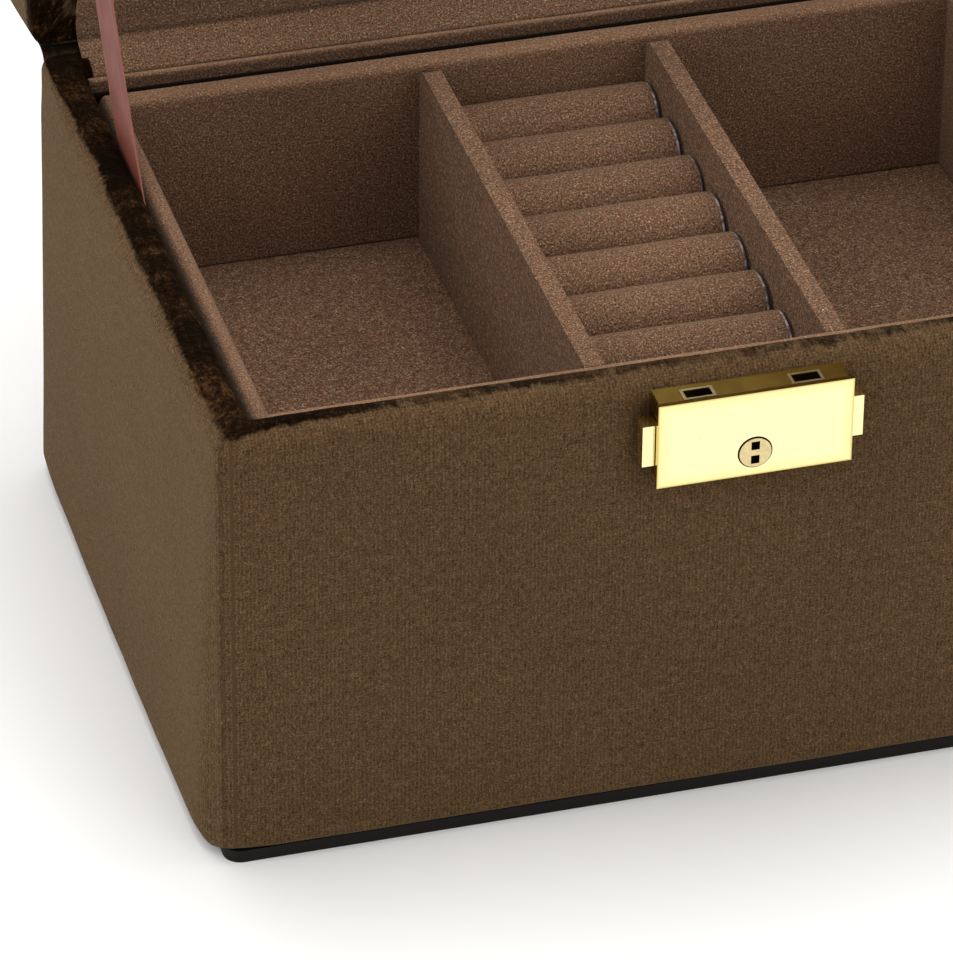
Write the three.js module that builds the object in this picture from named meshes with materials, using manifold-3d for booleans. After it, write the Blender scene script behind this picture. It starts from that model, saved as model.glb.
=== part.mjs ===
// Velvet-covered jewellery case with a lift-out tray, ring rolls, a hinged lid
// held open by two ribbon stays, and a squeeze lock with a key plug.
// Millimetres, +Z up. Origin: centre of the underside. X runs along the length,
// -Y is the front (lock side), +Y is the hinge side. The lid is drawn open.
import * as THREE from "three";
import { mergeVertices } from "three/addons/utils/BufferGeometryUtils.js";
import Module from "manifold-3d";

const wasm = await Module();
wasm.setup();

// ---------------------------------------------------------------- dimensions
const CASE_W = 240; // outside length of base and lid
const CASE_D = 174; // outside depth
const RIM_Z = 115; // crest of the base rim
const LID_GAP = 0.8; // between the two rims when shut
const LID_H = 38; // height of the lid
const LID_OPEN_DEG = 98; // how far the ribbons let the lid swing back
const AXIS_Y = 88.2; // hinge axis
const AXIS_Z = 115.5;
const CORNER_R = 4; // plan corner radius of the covering
const RIM_R = 4.2; // rounding of the padded rims
const COVER_T = 3.3; // foam and velvet over the boards
const BOARD_T = 4.8; // greyboard walls
const BOTTOM_COVER_T = 3.2; // black covered sole

const TRAY_W = 218; // lift-out tray, outside
const TRAY_Y0 = -75.6;
const TRAY_Y1 = 74.4;
const TRAY_TOP = 110;
const TRAY_WALL = 5.3;
const TRAY_FLOOR_TOP = 61.2;
const TRAY_FLOOR_T = 3.2;
const DIVIDER_T = 4.7;
const DIVIDER_X = 28.45; // centre of each divider from the middle
const ROLL_R = 8.6; // ring rolls
const ROLL_PITCH = 17.4;
const ROLL_COUNT = 8;
const ROLL_FIRST_Y = 60.3; // rearmost roll
const ROLL_Z = 91.0;

const LOCK_X = 1.4; // squeeze lock on the front wall
const LOCK_W = 45.7;
const LOCK_Z0 = 91.4;
const LOCK_Z1 = 113.1;
const LOCK_FACE_Y = -95.4;
const LOCK_PLATE_T = 1.2;
const TAB_OUT = 3.0;
const PLUG_R = 3.75;
const PLUG_Z = 97.4;

const RIBBON_W = 20;
const RIBBON_T = 0.4;
const RIBBON_X = 110.0; // ribbon lies between the tray and the base wall

const GAP = 0.3;

// ------------------------------------------------------------------ materials
const mat = (color, roughness, metalness = 0) =>
  new THREE.MeshStandardMaterial({ color, roughness, metalness });
const velvet = mat(0x594430, 0.95);
const flock = mat(0x5f4538, 1.0);
const flockLight = mat(0x6e5244, 1.0);
const boardM = mat(0x8a8070, 0.9);
const black = mat(0x14110f, 0.7);
const gold = mat(0xe0bd4e, 0.22, 1.0);
const goldDark = mat(0xa88434, 0.35, 1.0);
const brass = mat(0xb79242, 0.4, 1.0);
const satin = mat(0x9b5f5a, 0.45);
const mirrorM = mat(0xdfe3e4, 0.03, 1.0);
const steel = mat(0x9a9a9a, 0.35, 1.0);

// -------------------------------------------------------------------- helpers
const group = new THREE.Group();
const lidGroup = new THREE.Group(); // holds lid pieces in their shut position
lidGroup.position.set(0, AXIS_Y, AXIS_Z);
lidGroup.rotation.x = THREE.MathUtils.degToRad(-LID_OPEN_DEG);
const lidInner = new THREE.Group();
lidInner.position.set(0, -AXIS_Y, -AXIS_Z);
lidGroup.add(lidInner);
group.add(lidGroup);

function solid(geometry) {
  let g = geometry.clone();
  g.deleteAttribute("normal");
  g.deleteAttribute("uv");
  g = mergeVertices(g, 1e-4);
  return new wasm.Manifold(
    new wasm.Mesh({
      numProp: 3,
      vertProperties: new Float32Array(g.attributes.position.array),
      triVerts: new Uint32Array(g.index.array),
    }),
  );
}
function geometryOf(s) {
  const m = s.getMesh();
  const v = new Float32Array(m.numVert * 3);
  for (let i = 0; i < m.numVert; i++)
    v.set(m.vertProperties.subarray(i * m.numProp, i * m.numProp + 3), i * 3);
  const g = new THREE.BufferGeometry();
  g.setAttribute("position", new THREE.BufferAttribute(v, 3));
  g.setIndex(new THREE.BufferAttribute(new Uint32Array(m.triVerts), 1));
  g.computeVertexNormals();
  return g;
}
function boxG(x0, x1, y0, y1, z0, z1) {
  return new THREE.BoxGeometry(x1 - x0, y1 - y0, z1 - z0).translate(
    (x0 + x1) / 2,
    (y0 + y1) / 2,
    (z0 + z1) / 2,
  );
}
const box = (...a) => solid(boxG(...a));
function cylG(axis, r, a0, a1, c1, c2, n = 20) {
  // a cylinder along an axis from a0 to a1; c1, c2 are the other two coordinates
  const g = new THREE.CylinderGeometry(r, r, a1 - a0, n);
  const mid = (a0 + a1) / 2;
  if (axis === "x") g.rotateZ(Math.PI / 2).translate(mid, c1, c2);
  if (axis === "y") g.translate(c1, mid, c2);
  if (axis === "z") g.rotateX(Math.PI / 2).translate(c1, c2, mid);
  return g;
}
const cyl = (...a) => solid(cylG(...a));
function roundedRect(hw, y0, y1, r) {
  const s = new THREE.Shape();
  s.moveTo(-hw + r, y0);
  s.lineTo(hw - r, y0);
  s.absarc(hw - r, y0 + r, r, -Math.PI / 2, 0);
  s.lineTo(hw, y1 - r);
  s.absarc(hw - r, y1 - r, r, 0, Math.PI / 2);
  s.lineTo(-hw + r, y1);
  s.absarc(-hw + r, y1 - r, r, Math.PI / 2, Math.PI);
  s.lineTo(-hw, y0 + r);
  s.absarc(-hw + r, y0 + r, r, Math.PI, 1.5 * Math.PI);
  return s;
}
// A rounded-rectangle block whose wall follows (inset, z) pairs from bottom to top.
function loft(hw, hd, r, levels, seg = 5) {
  const rings = levels.map(([inset, z]) => {
    const ring = [];
    const rr = Math.max(r - inset, 0.4);
    for (const [sx, sy, a0] of [
      [1, 1, 0],
      [-1, 1, 90],
      [-1, -1, 180],
      [1, -1, 270],
    ])
      for (let i = 0; i <= seg; i++) {
        const a = ((a0 + (90 * i) / seg) * Math.PI) / 180;
        ring.push([
          sx * (hw - inset - rr) + rr * Math.cos(a),
          sy * (hd - inset - rr) + rr * Math.sin(a),
          z,
        ]);
      }
    return ring;
  });
  const n = rings[0].length;
  const pos = [];
  const idx = [];
  rings.forEach((ring) => ring.forEach((p) => pos.push(...p)));
  for (let k = 0; k < rings.length - 1; k++)
    for (let i = 0; i < n; i++) {
      const a = k * n + i;
      const b = k * n + ((i + 1) % n);
      idx.push(a, b, b + n, a, b + n, a + n);
    }
  const top = (rings.length - 1) * n;
  for (let i = 1; i < n - 1; i++) {
    idx.push(0, i + 1, i);
    idx.push(top, top + i, top + i + 1);
  }
  const g = new THREE.BufferGeometry();
  g.setAttribute("position", new THREE.Float32BufferAttribute(pos, 3));
  g.setIndex(idx);
  return solid(g);
}
// A sheet of thickness t that follows (y, z) points, spanning x0 to x1.
function sheetAlong(points, t, x0, x1) {
  const left = [];
  const right = [];
  points.forEach(([y, z], i) => {
    const a = points[Math.max(i - 1, 0)];
    const b = points[Math.min(i + 1, points.length - 1)];
    const dy = b[0] - a[0];
    const dz = b[1] - a[1];
    const l = Math.hypot(dy, dz);
    let k = t / 2;
    if (i > 0 && i < points.length - 1) {
      const u = [y - a[0], z - a[1]];
      const lu = Math.hypot(...u);
      const c = (u[0] * dy + u[1] * dz) / (lu * l);
      k = t / 2 / Math.max(Math.min(c, 1), 0.5);
    }
    left.push([y - (dz / l) * k, z + (dy / l) * k]);
    right.push([y + (dz / l) * k, z - (dy / l) * k]);
  });
  const outline = [...left, ...right.reverse()];
  const s = new THREE.Shape(outline.map(([y, z]) => new THREE.Vector2(y, z)));
  const g = new THREE.ExtrudeGeometry(s, {
    depth: x1 - x0,
    bevelEnabled: false,
    curveSegments: 1,
  });
  // shape plane (y, z), extrusion along x
  g.applyMatrix4(
    new THREE.Matrix4().set(0, 0, 1, x0, 1, 0, 0, 0, 0, 1, 0, 0, 0, 0, 0, 1),
  );
  return g;
}
function put(name, geometry, material, parent = group) {
  const g = geometry.isBufferGeometry ? geometry : geometryOf(geometry);
  const m = new THREE.Mesh(g, material);
  m.name = name;
  parent.add(m);
  return m;
}
const lidAngle = THREE.MathUtils.degToRad(-LID_OPEN_DEG);
// where a point of the shut lid lies once the lid is open
function opened(y, z) {
  const dy = y - AXIS_Y;
  const dz = z - AXIS_Z;
  return [
    AXIS_Y + dy * Math.cos(lidAngle) - dz * Math.sin(lidAngle),
    AXIS_Z + dy * Math.sin(lidAngle) + dz * Math.cos(lidAngle),
  ];
}

// ----------------------------------------------------------------- case base
const HW = CASE_W / 2;
const HD = CASE_D / 2;
const BX = HW - COVER_T; // outer face of the boards
const BY = HD - COVER_T;
const BOARD_IN_X = BX - BOARD_T;
const BOARD_IN_Y = BY - BOARD_T;
const LIP_X = 110.6; // inside of the padded rim
const LIP_Y = 76.6;
const BOARD_Z0 = BOTTOM_COVER_T + GAP;
const BOARD_TOP = RIM_Z - 4.2;

put(
  "bottom_cover",
  new THREE.ExtrudeGeometry(roundedRect(HW - 1.2, -HD + 0.2, HD - 0.2, 4), {
    depth: BOTTOM_COVER_T,
    bevelEnabled: false,
    curveSegments: 5,
  }),
  black,
);
put(
  "bottom_board",
  boxG(
    -BOARD_IN_X + GAP,
    BOARD_IN_X - GAP,
    -BOARD_IN_Y + GAP,
    BOARD_IN_Y - GAP,
    BOARD_Z0,
    BOARD_Z0 + 5,
  ),
  boardM,
);
const RIVET_X = 15.4;
const RIVET_Z = 96.4;
const rivetHole = (sx) =>
  cyl("y", 1.7, -89.5, -77, LOCK_X + sx * RIVET_X, RIVET_Z, 12);
put(
  "base_front_board",
  box(-BX, BX, -BY, -BOARD_IN_Y, BOARD_Z0, BOARD_TOP)
    .subtract(rivetHole(-1))
    .subtract(rivetHole(1)),
  boardM,
);
put(
  "base_back_board",
  boxG(-BX, BX, BOARD_IN_Y, BY, BOARD_Z0, BOARD_TOP),
  boardM,
);
put(
  "base_left_board",
  boxG(
    -BX,
    -BOARD_IN_X,
    -BOARD_IN_Y + GAP,
    BOARD_IN_Y - GAP,
    BOARD_Z0,
    BOARD_TOP,
  ),
  boardM,
);
put(
  "base_right_board",
  boxG(
    BOARD_IN_X,
    BX,
    -BOARD_IN_Y + GAP,
    BOARD_IN_Y - GAP,
    BOARD_Z0,
    BOARD_TOP,
  ),
  boardM,
);

// hinge places along the back edge
const HINGE_X = [-64, 64];
const LEAF_W = 30;
const KNUCKLE_R = 1.9;

// One padded covering: foam and velvet over the walls, folded over the rim and
// tucked inside. z grows from the open side to the rim for the base.
function hollowCover(outer, zLow, zChannelTop, zLipEnd, zOut) {
  const cut = GAP;
  let s = outer;
  s = s.subtract(
    box(-BX - cut, BX + cut, -BY - cut, BY + cut, zLow, zLipEnd),
  );
  const ring = box(
    -BX - cut,
    BX + cut,
    -BY - cut,
    BY + cut,
    Math.min(zLipEnd, zChannelTop) - 0.01,
    Math.max(zLipEnd, zChannelTop),
  ).subtract(
    box(
      -BOARD_IN_X + cut,
      BOARD_IN_X - cut,
      -BOARD_IN_Y + cut,
      BOARD_IN_Y - cut,
      -10,
      300,
    ),
  );
  s = s.subtract(ring);
  s = s.subtract(
    box(-LIP_X, LIP_X, -LIP_Y, LIP_Y, zLipEnd - 1, zOut),
  );
  return s;
}
{
  const outer = loft(HW, HD, CORNER_R, [
    [0.5, BOARD_Z0],
    [0, BOARD_Z0 + 2],
    [0, RIM_Z - RIM_R],
    [0.45, RIM_Z - 2.2],
    [1.5, RIM_Z - 0.8],
    [RIM_R * 0.75, RIM_Z],
  ]);
  let s = hollowCover(outer, -5, BOARD_TOP + GAP, 104, RIM_Z + 5);
  // the rim is lower along the back, where the hinges and the lining strip lie
  s = s.subtract(box(-LIP_X, LIP_X, 70, 85, 112.3, 130));
  for (const x of HINGE_X)
    s = s.subtract(
      box(x - LEAF_W / 2 - 0.6, x + LEAF_W / 2 + 0.6, 70, 95, 112.3, 130),
    );
  s = s.subtract(rivetHole(-1)).subtract(rivetHole(1));
  put("base_velvet_cover", s, velvet);
}

// the well below the tray: lined floor and the four liners that carry the tray
const WELL_TOP = TRAY_FLOOR_TOP - TRAY_FLOOR_T - GAP;
const LINER_OUT_X = BOARD_IN_X - GAP;
const LINER_OUT_Y = BOARD_IN_Y - GAP;
const LINER_T = 4.6;
const WELL_Z0 = BOARD_Z0 + 5 + GAP;
put(
  "well_floor_lining",
  boxG(-LINER_OUT_X, LINER_OUT_X, -LINER_OUT_Y, LINER_OUT_Y, WELL_Z0, WELL_Z0 + 2),
  flock,
);
const LZ = WELL_Z0 + 2 + GAP;
put(
  "well_liner_front",
  boxG(-LINER_OUT_X, LINER_OUT_X, -LINER_OUT_Y, -LINER_OUT_Y + LINER_T, LZ, WELL_TOP),
  flock,
);
put(
  "well_liner_back",
  boxG(-LINER_OUT_X, LINER_OUT_X, LINER_OUT_Y - LINER_T, LINER_OUT_Y, LZ, WELL_TOP),
  flock,
);
for (const [side, sx] of [
  ["left", -1],
  ["right", 1],
]) {
  const xa = sx * LINER_OUT_X;
  const xb = sx * (LINER_OUT_X - LINER_T);
  put(
    "well_liner_" + side,
    boxG(
      Math.min(xa, xb),
      Math.max(xa, xb),
      -LINER_OUT_Y + LINER_T + GAP,
      LINER_OUT_Y - LINER_T - GAP,
      LZ,
      WELL_TOP,
    ),
    flock,
  );
}

// ---------------------------------------------------------------------- tray
const TX = TRAY_W / 2;
put(
  "tray_floor",
  boxG(-TX, TX, TRAY_Y0, TRAY_Y1, TRAY_FLOOR_TOP - TRAY_FLOOR_T, TRAY_FLOOR_TOP),
  flockLight,
);
const TZ = TRAY_FLOOR_TOP + GAP;
put(
  "tray_wall_front",
  boxG(-TX, TX, TRAY_Y0, TRAY_Y0 + TRAY_WALL, TZ, TRAY_TOP),
  flockLight,
);
put(
  "tray_wall_back",
  boxG(-TX, TX, TRAY_Y1 - TRAY_WALL, TRAY_Y1, TZ, TRAY_TOP),
  flockLight,
);
put(
  "tray_wall_left",
  boxG(-TX, -TX + TRAY_WALL, TRAY_Y0 + TRAY_WALL + GAP, TRAY_Y1 - TRAY_WALL - GAP, TZ, TRAY_TOP),
  flockLight,
);
put(
  "tray_wall_right",
  boxG(TX - TRAY_WALL, TX, TRAY_Y0 + TRAY_WALL + GAP, TRAY_Y1 - TRAY_WALL - GAP, TZ, TRAY_TOP),
  flockLight,
);
// dividers with a rounded top corner at the back
{
  const y0 = TRAY_Y0 + TRAY_WALL + GAP;
  const y1 = TRAY_Y1 - TRAY_WALL - 0.6;
  const top = TRAY_TOP - 0.6;
  const r = 4;
  for (const [side, sx] of [
    ["left", -1],
    ["right", 1],
  ]) {
    const s = new THREE.Shape();
    s.moveTo(y0, TZ);
    s.lineTo(y1, TZ);
    s.lineTo(y1, top - r);
    s.absarc(y1 - r, top - r, r, 0, Math.PI / 2);
    s.lineTo(y0, top);
    const g = new THREE.ExtrudeGeometry(s, {
      depth: DIVIDER_T,
      bevelEnabled: false,
      curveSegments: 5,
    });
    g.applyMatrix4(
      new THREE.Matrix4().set(
        0, 0, 1, sx * DIVIDER_X - DIVIDER_T / 2,
        1, 0, 0, 0,
        0, 1, 0, 0,
        0, 0, 0, 1,
      ),
    );
    put("tray_divider_" + side, g, flockLight);
  }
}
const ROLL_X = DIVIDER_X - DIVIDER_T / 2 - 0.35;
put(
  "ring_roll_bed",
  boxG(
    -ROLL_X,
    ROLL_X,
    TRAY_Y0 + TRAY_WALL + GAP,
    TRAY_Y1 - TRAY_WALL - GAP,
    TZ,
    ROLL_Z - ROLL_R - GAP,
  ),
  flock,
);
for (let i = 0; i < ROLL_COUNT; i++)
  put(
    "ring_roll_" + (i + 1),
    cylG("x", ROLL_R, -ROLL_X, ROLL_X, ROLL_FIRST_Y - i * ROLL_PITCH, ROLL_Z, 20),
    flockLight,
  );

// ----------------------------------------------------------------------- lid
const LZ0 = RIM_Z + LID_GAP; // rim of the shut lid
const LZ1 = LZ0 + LID_H; // its top
const LID_BOARD_TOP = LZ1 - COVER_T; // upper face of the top board
const LID_TOP_T = 4;
const LID_WALL_Z0 = LZ0 + 4.2;
const LID_WALL_Z1 = LID_BOARD_TOP - LID_TOP_T - GAP;
put(
  "lid_top_board",
  boxG(-BX, BX, -BY, BY, LID_BOARD_TOP - LID_TOP_T, LID_BOARD_TOP),
  boardM,
  lidInner,
);
const strikeHole = (sx) =>
  cyl("y", 1.7, -95, -70, LOCK_X + sx * 14, 121.6, 12);
put(
  "lid_front_board",
  box(-BX, BX, -BY, -BOARD_IN_Y, LID_WALL_Z0, LID_WALL_Z1)
    .subtract(strikeHole(-1))
    .subtract(strikeHole(1)),
  boardM,
  lidInner,
);
put(
  "lid_back_board",
  boxG(-BX, BX, BOARD_IN_Y, BY, LID_WALL_Z0, LID_WALL_Z1),
  boardM,
  lidInner,
);
put(
  "lid_left_board",
  boxG(-BX, -BOARD_IN_X, -BOARD_IN_Y + GAP, BOARD_IN_Y - GAP, LID_WALL_Z0, LID_WALL_Z1),
  boardM,
  lidInner,
);
put(
  "lid_right_board",
  boxG(BOARD_IN_X, BX, -BOARD_IN_Y + GAP, BOARD_IN_Y - GAP, LID_WALL_Z0, LID_WALL_Z1),
  boardM,
  lidInner,
);
const LID_LIP_END = LZ0 + 6.5;
{
  const outer = loft(HW, HD, CORNER_R, [
    [RIM_R * 0.75, LZ0],
    [1.5, LZ0 + 0.8],
    [0.45, LZ0 + 2.2],
    [0, LZ0 + RIM_R],
    [0, LZ1 - 5],
    [0.7, LZ1 - 2.4],
    [2.2, LZ1 - 0.8],
    [4.4, LZ1],
  ]);
  const cut = GAP;
  let s = outer;
  // the space for the boards and the lining, above the tucked-in lip
  s = s.subtract(
    box(-BX - cut, BX + cut, -BY - cut, BY + cut, LID_LIP_END, LID_BOARD_TOP + cut),
  );
  s = s.subtract(
    box(-BX - cut, BX + cut, -BY - cut, BY + cut, LID_WALL_Z0 - cut, LID_LIP_END + 0.01).subtract(
      box(-BOARD_IN_X + cut, BOARD_IN_X - cut, -BOARD_IN_Y + cut, BOARD_IN_Y - cut, 100, 200),
    ),
  );
  s = s.subtract(box(-LIP_X, LIP_X, -LIP_Y, LIP_Y, LZ0 - 5, LID_LIP_END + 1));
  s = s.subtract(box(-LIP_X, LIP_X, 70, 85, LZ0 - 5, 2 * AXIS_Z - 112.3));
  for (const x of HINGE_X)
    s = s.subtract(
      box(x - LEAF_W / 2 - 0.6, x + LEAF_W / 2 + 0.6, 70, 95, LZ0 - 5, 2 * AXIS_Z - 112.3),
    );
  s = s.subtract(strikeHole(-1)).subtract(strikeHole(1));
  put("lid_velvet_cover", s, velvet, lidInner);
}
// flocked lining shell inside the lid, a padded frame and a mirror
const PAN_X = BOARD_IN_X - GAP;
const PAN_Y = BOARD_IN_Y - GAP;
const PAN_T = 1.9;
const PAN_Z0 = LID_LIP_END + GAP;
const PAN_Z1 = LID_WALL_Z1;
const PAN_ROOF = PAN_Z1 - 2.2;
put(
  "lid_lining",
  box(-PAN_X, PAN_X, -PAN_Y, PAN_Y, PAN_Z0, PAN_Z1).subtract(
    box(-PAN_X + PAN_T, PAN_X - PAN_T, -PAN_Y + PAN_T, PAN_Y - PAN_T, PAN_Z0 - 1, PAN_ROOF),
  ),
  flock,
  lidInner,
);
const PAD_T = 4;
const MIRROR_HX = 86;
const MIRROR_HY = 55;
put(
  "lid_pad_frame",
  box(
    -PAN_X + PAN_T + GAP,
    PAN_X - PAN_T - GAP,
    -PAN_Y + PAN_T + GAP,
    PAN_Y - PAN_T - GAP,
    PAN_ROOF - GAP - PAD_T,
    PAN_ROOF - GAP,
  ).subtract(
    box(-MIRROR_HX, MIRROR_HX, -MIRROR_HY, MIRROR_HY, PAN_ROOF - 10, PAN_ROOF + 5),
  ),
  flock,
  lidInner,
);
put(
  "lid_mirror",
  boxG(
    -MIRROR_HX + GAP,
    MIRROR_HX - GAP,
    -MIRROR_HY + GAP,
    MIRROR_HY - GAP,
    PAN_ROOF - GAP - 2,
    PAN_ROOF - GAP,
  ),
  mirrorM,
  lidInner,
);

// -------------------------------------------------------------------- hinges
const LEAF_T = 1.1;
const LEAF_TOP = AXIS_Z - KNUCKLE_R + 0.3; // upper face of the base leaf
HINGE_X.forEach((x, i) => {
  const side = i ? "right" : "left";
  const bore = cyl("x", 1.15, x - 20, x + 20, AXIS_Y, AXIS_Z, 16);
  const h = LEAF_W / 2;
  const k = 7.5; // length of each outer knuckle
  // leaf fixed on the base: plate with two outer knuckles
  let a = box(x - h, x + h, 79.5, AXIS_Y - 0.9, LEAF_TOP - LEAF_T, LEAF_TOP);
  a = a.subtract(
    box(x - h + k, x + h - k, AXIS_Y - KNUCKLE_R - 0.4, 95, 100, 130),
  );
  for (const [p, q] of [
    [x - h, x - h + k - GAP],
    [x + h - k + GAP, x + h],
  ])
    a = a.add(cyl("x", KNUCKLE_R, p, q, AXIS_Y, AXIS_Z, 16)).add(
      box(p, q, AXIS_Y - KNUCKLE_R - 0.3, AXIS_Y - 0.9, LEAF_TOP - LEAF_T, LEAF_TOP),
    );
  put("hinge_base_leaf_" + side, a.subtract(bore), brass);
  // leaf fixed in the lid: plate with the middle knuckle
  const lz = 2 * AXIS_Z - LEAF_TOP;
  let b = box(x - h, x + h, 79.5, AXIS_Y - KNUCKLE_R - 0.4, lz, lz + LEAF_T);
  b = b
    .add(
      box(x - h + k, x + h - k, AXIS_Y - KNUCKLE_R - 0.9, AXIS_Y - 0.9, lz, lz + LEAF_T),
    )
    .add(cyl("x", KNUCKLE_R, x - h + k, x + h - k, AXIS_Y, AXIS_Z, 16));
  put("hinge_lid_leaf_" + side, b.subtract(bore), brass, lidInner);
  put(
    "hinge_pin_" + side,
    cylG("x", 1.0, x - h - 0.6, x + h + 0.6, AXIS_Y, AXIS_Z, 12),
    steel,
  );
});

// lining strip over the hinge gap, from the back of the well into the lid
{
  const pts = [
    [75.9, 99],
    [75.9, 112.2],
    [76.8, 113.5],
    [80.5, 114.9],
    [84.6, 116.4],
    [87.1, 117.8],
    [88.9, 120.5],
    [89.9, 124.5],
    [91.2, 127.0],
    [94.0, 127.45],
    opened(75.7, 127),
  ];
  put("hinge_lining_strip", sheetAlong(pts, 0.5, -109.4, 109.4), flock);
}
// velvet folds glued outside over the two ends of the hinge line
{
  const pts = [
    [87.5, 108.5],
    [87.5, 112.5],
    [88.6, 114.7],
    [91.5, 115.55],
    [96.5, 114.95],
  ];
  put("hinge_fold_left", sheetAlong(pts, 0.5, -118.6, -108.3), velvet);
  put("hinge_fold_right", sheetAlong(pts, 0.5, 108.3, 118.6), velvet);
}
// ribbon stays, one each side, from the gap beside the tray up into the lid
const RIBBON_LOW = [24, 99];
const RIBBON_FIX = [2.2, 118]; // where its middle meets the lid, lid shut
const RIBBON_END_Z = 121.9; // it ends behind the tucked-in edge of the lid
{
  const [hy, hz] = opened(...RIBBON_FIX);
  const dy = hy - RIBBON_LOW[0];
  const dz = hz - RIBBON_LOW[1];
  const l = Math.hypot(dy, dz);
  const d = [dy / l, dz / l];
  const n = [-d[1], d[0]];
  const e0 = opened(-150, RIBBON_END_Z);
  const e1 = opened(50, RIBBON_END_Z);
  const e = [e1[0] - e0[0], e1[1] - e0[1]];
  // where an edge of the ribbon, offset by w, meets the end line in the lid
  const endOf = (w) => {
    const p = [RIBBON_LOW[0] + n[0] * w, RIBBON_LOW[1] + n[1] * w];
    const k =
      ((e0[0] - p[0]) * e[1] - (e0[1] - p[1]) * e[0]) / (d[0] * e[1] - d[1] * e[0]);
    return new THREE.Vector2(p[0] + d[0] * k, p[1] + d[1] * k);
  };
  for (const [side, sx] of [
    ["left", -1],
    ["right", 1],
  ]) {
    const w = RIBBON_W / 2;
    const s = new THREE.Shape([
      new THREE.Vector2(RIBBON_LOW[0] - n[0] * w, RIBBON_LOW[1] - n[1] * w),
      endOf(-w),
      endOf(w),
      new THREE.Vector2(RIBBON_LOW[0] + n[0] * w, RIBBON_LOW[1] + n[1] * w),
    ]);
    const g = new THREE.ExtrudeGeometry(s, { depth: RIBBON_T, bevelEnabled: false });
    g.applyMatrix4(
      new THREE.Matrix4().set(
        0, 0, 1, sx * RIBBON_X - RIBBON_T / 2,
        1, 0, 0, 0,
        0, 1, 0, 0,
        0, 0, 0, 1,
      ),
    );
    put("ribbon_stay_" + side, g, satin);
  }
}

// ---------------------------------------------------------------------- lock
const LW = LOCK_W / 2;
const PLATE_BACK = LOCK_FACE_Y + LOCK_PLATE_T;
const CASE_FRONT = PLATE_BACK + GAP;
const CASE_BACK = -HD - GAP;
const SLOT_X = 12.6;
const SLOT_HW = 3.1;
const SLOT_Y0 = -93.1;
const SLOT_Y1 = -90.1;
const TAB_Z0 = 96.6;
const TAB_Z1 = 107.1;
// front plate with the hole for the plug
put(
  "lock_front_plate",
  box(LOCK_X - LW, LOCK_X + LW, LOCK_FACE_Y, PLATE_BACK, LOCK_Z0, LOCK_Z1).subtract(
    cyl("y", PLUG_R + 0.35, -100, -90, LOCK_X, PLUG_Z, 32),
  ),
  gold,
);
// lock case: back, top, bottom and side walls, open towards the front plate
{
  const cx = LOCK_X;
  const hw = LW - 0.7;
  const z0 = LOCK_Z0 + 0.7;
  const z1 = LOCK_Z1 - 0.6;
  let s = box(cx - hw, cx + hw, CASE_FRONT, CASE_BACK, z0, z1);
  s = s.subtract(
    box(cx - hw + 1, cx + hw - 1, CASE_FRONT - 1, CASE_BACK - 1, z0 + 1, z1 - 1.2),
  );
  for (const sx of [-1, 1]) {
    // windows for the push tabs
    s = s.subtract(
      box(
        cx + sx * hw - 2,
        cx + sx * hw + 2,
        CASE_FRONT - 1,
        CASE_BACK - 0.9,
        TAB_Z0 - 0.4,
        TAB_Z1 + 0.4,
      ),
    );
    // raised rim round each hook slot
    s = s.add(
      box(
        cx + sx * SLOT_X - SLOT_HW - 0.7,
        cx + sx * SLOT_X + SLOT_HW + 0.7,
        SLOT_Y0 - 0.6,
        SLOT_Y1 + 0.7,
        z1 - 1,
        z1 + 0.4,
      ),
    );
    s = s.subtract(
      box(
        cx + sx * SLOT_X - SLOT_HW,
        cx + sx * SLOT_X + SLOT_HW,
        SLOT_Y0,
        SLOT_Y1,
        z1 - 3,
        z1 + 3,
      ),
    );
    s = s.subtract(
      cyl("y", 1.7, -95, -80, cx + sx * RIVET_X, RIVET_Z, 12),
    );
  }
  // post that the two springs push against
  s = s.add(box(cx - 1, cx + 1, CASE_FRONT + 0.5, CASE_BACK - 0.5, 103.2, z1 - 0.5));
  put("lock_case", s, goldDark);
}
for (const [side, sx] of [
  ["left", -1],
  ["right", 1],
]) {
  const cx = LOCK_X;
  const bx = (a, b, ...rest) =>
    box(Math.min(cx + sx * a, cx + sx * b), Math.max(cx + sx * a, cx + sx * b), ...rest);
  // push tab, its bar under the hook and the upright the spring bears on
  const tab = bx(20.4, LW + TAB_OUT, -93.7, -89.4, TAB_Z0, TAB_Z1)
    .add(bx(7, 21, -93.1, -90.1, 101.0, 103.0))
    .add(bx(7, 8.6, -93.1, -90.1, 102.5, 108.2));
  put("lock_slider_" + side, tab, gold);
  // rivet through the front wall
  put(
    "lock_rivet_" + side,
    cyl("y", 1.35, -88.6, -79.2, cx + sx * RIVET_X, RIVET_Z, 12).add(
      cyl("y", 2.6, -90.1, -88.55, cx + sx * RIVET_X, RIVET_Z, 12),
    ),
    steel,
  );
  // compression spring between the post and the slider
  class Coil extends THREE.Curve {
    getPoint(t) {
      const a = t * 2 * Math.PI * 4;
      return new THREE.Vector3(
        cx + sx * (1.75 + t * 4.5),
        -91.6 + 1.35 * Math.cos(a),
        106 + 1.35 * Math.sin(a),
      );
    }
  }
  const sec = new THREE.Shape();
  for (let i = 0; i < 5; i++) {
    const a = (i / 5) * 2 * Math.PI;
    sec[i ? "lineTo" : "moveTo"](0.2 * Math.cos(a), 0.2 * Math.sin(a));
  }
  put(
    "lock_spring_" + side,
    new THREE.ExtrudeGeometry(sec, {
      steps: 40,
      extrudePath: new Coil(),
      bevelEnabled: false,
    }),
    steel,
  );
}
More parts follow.
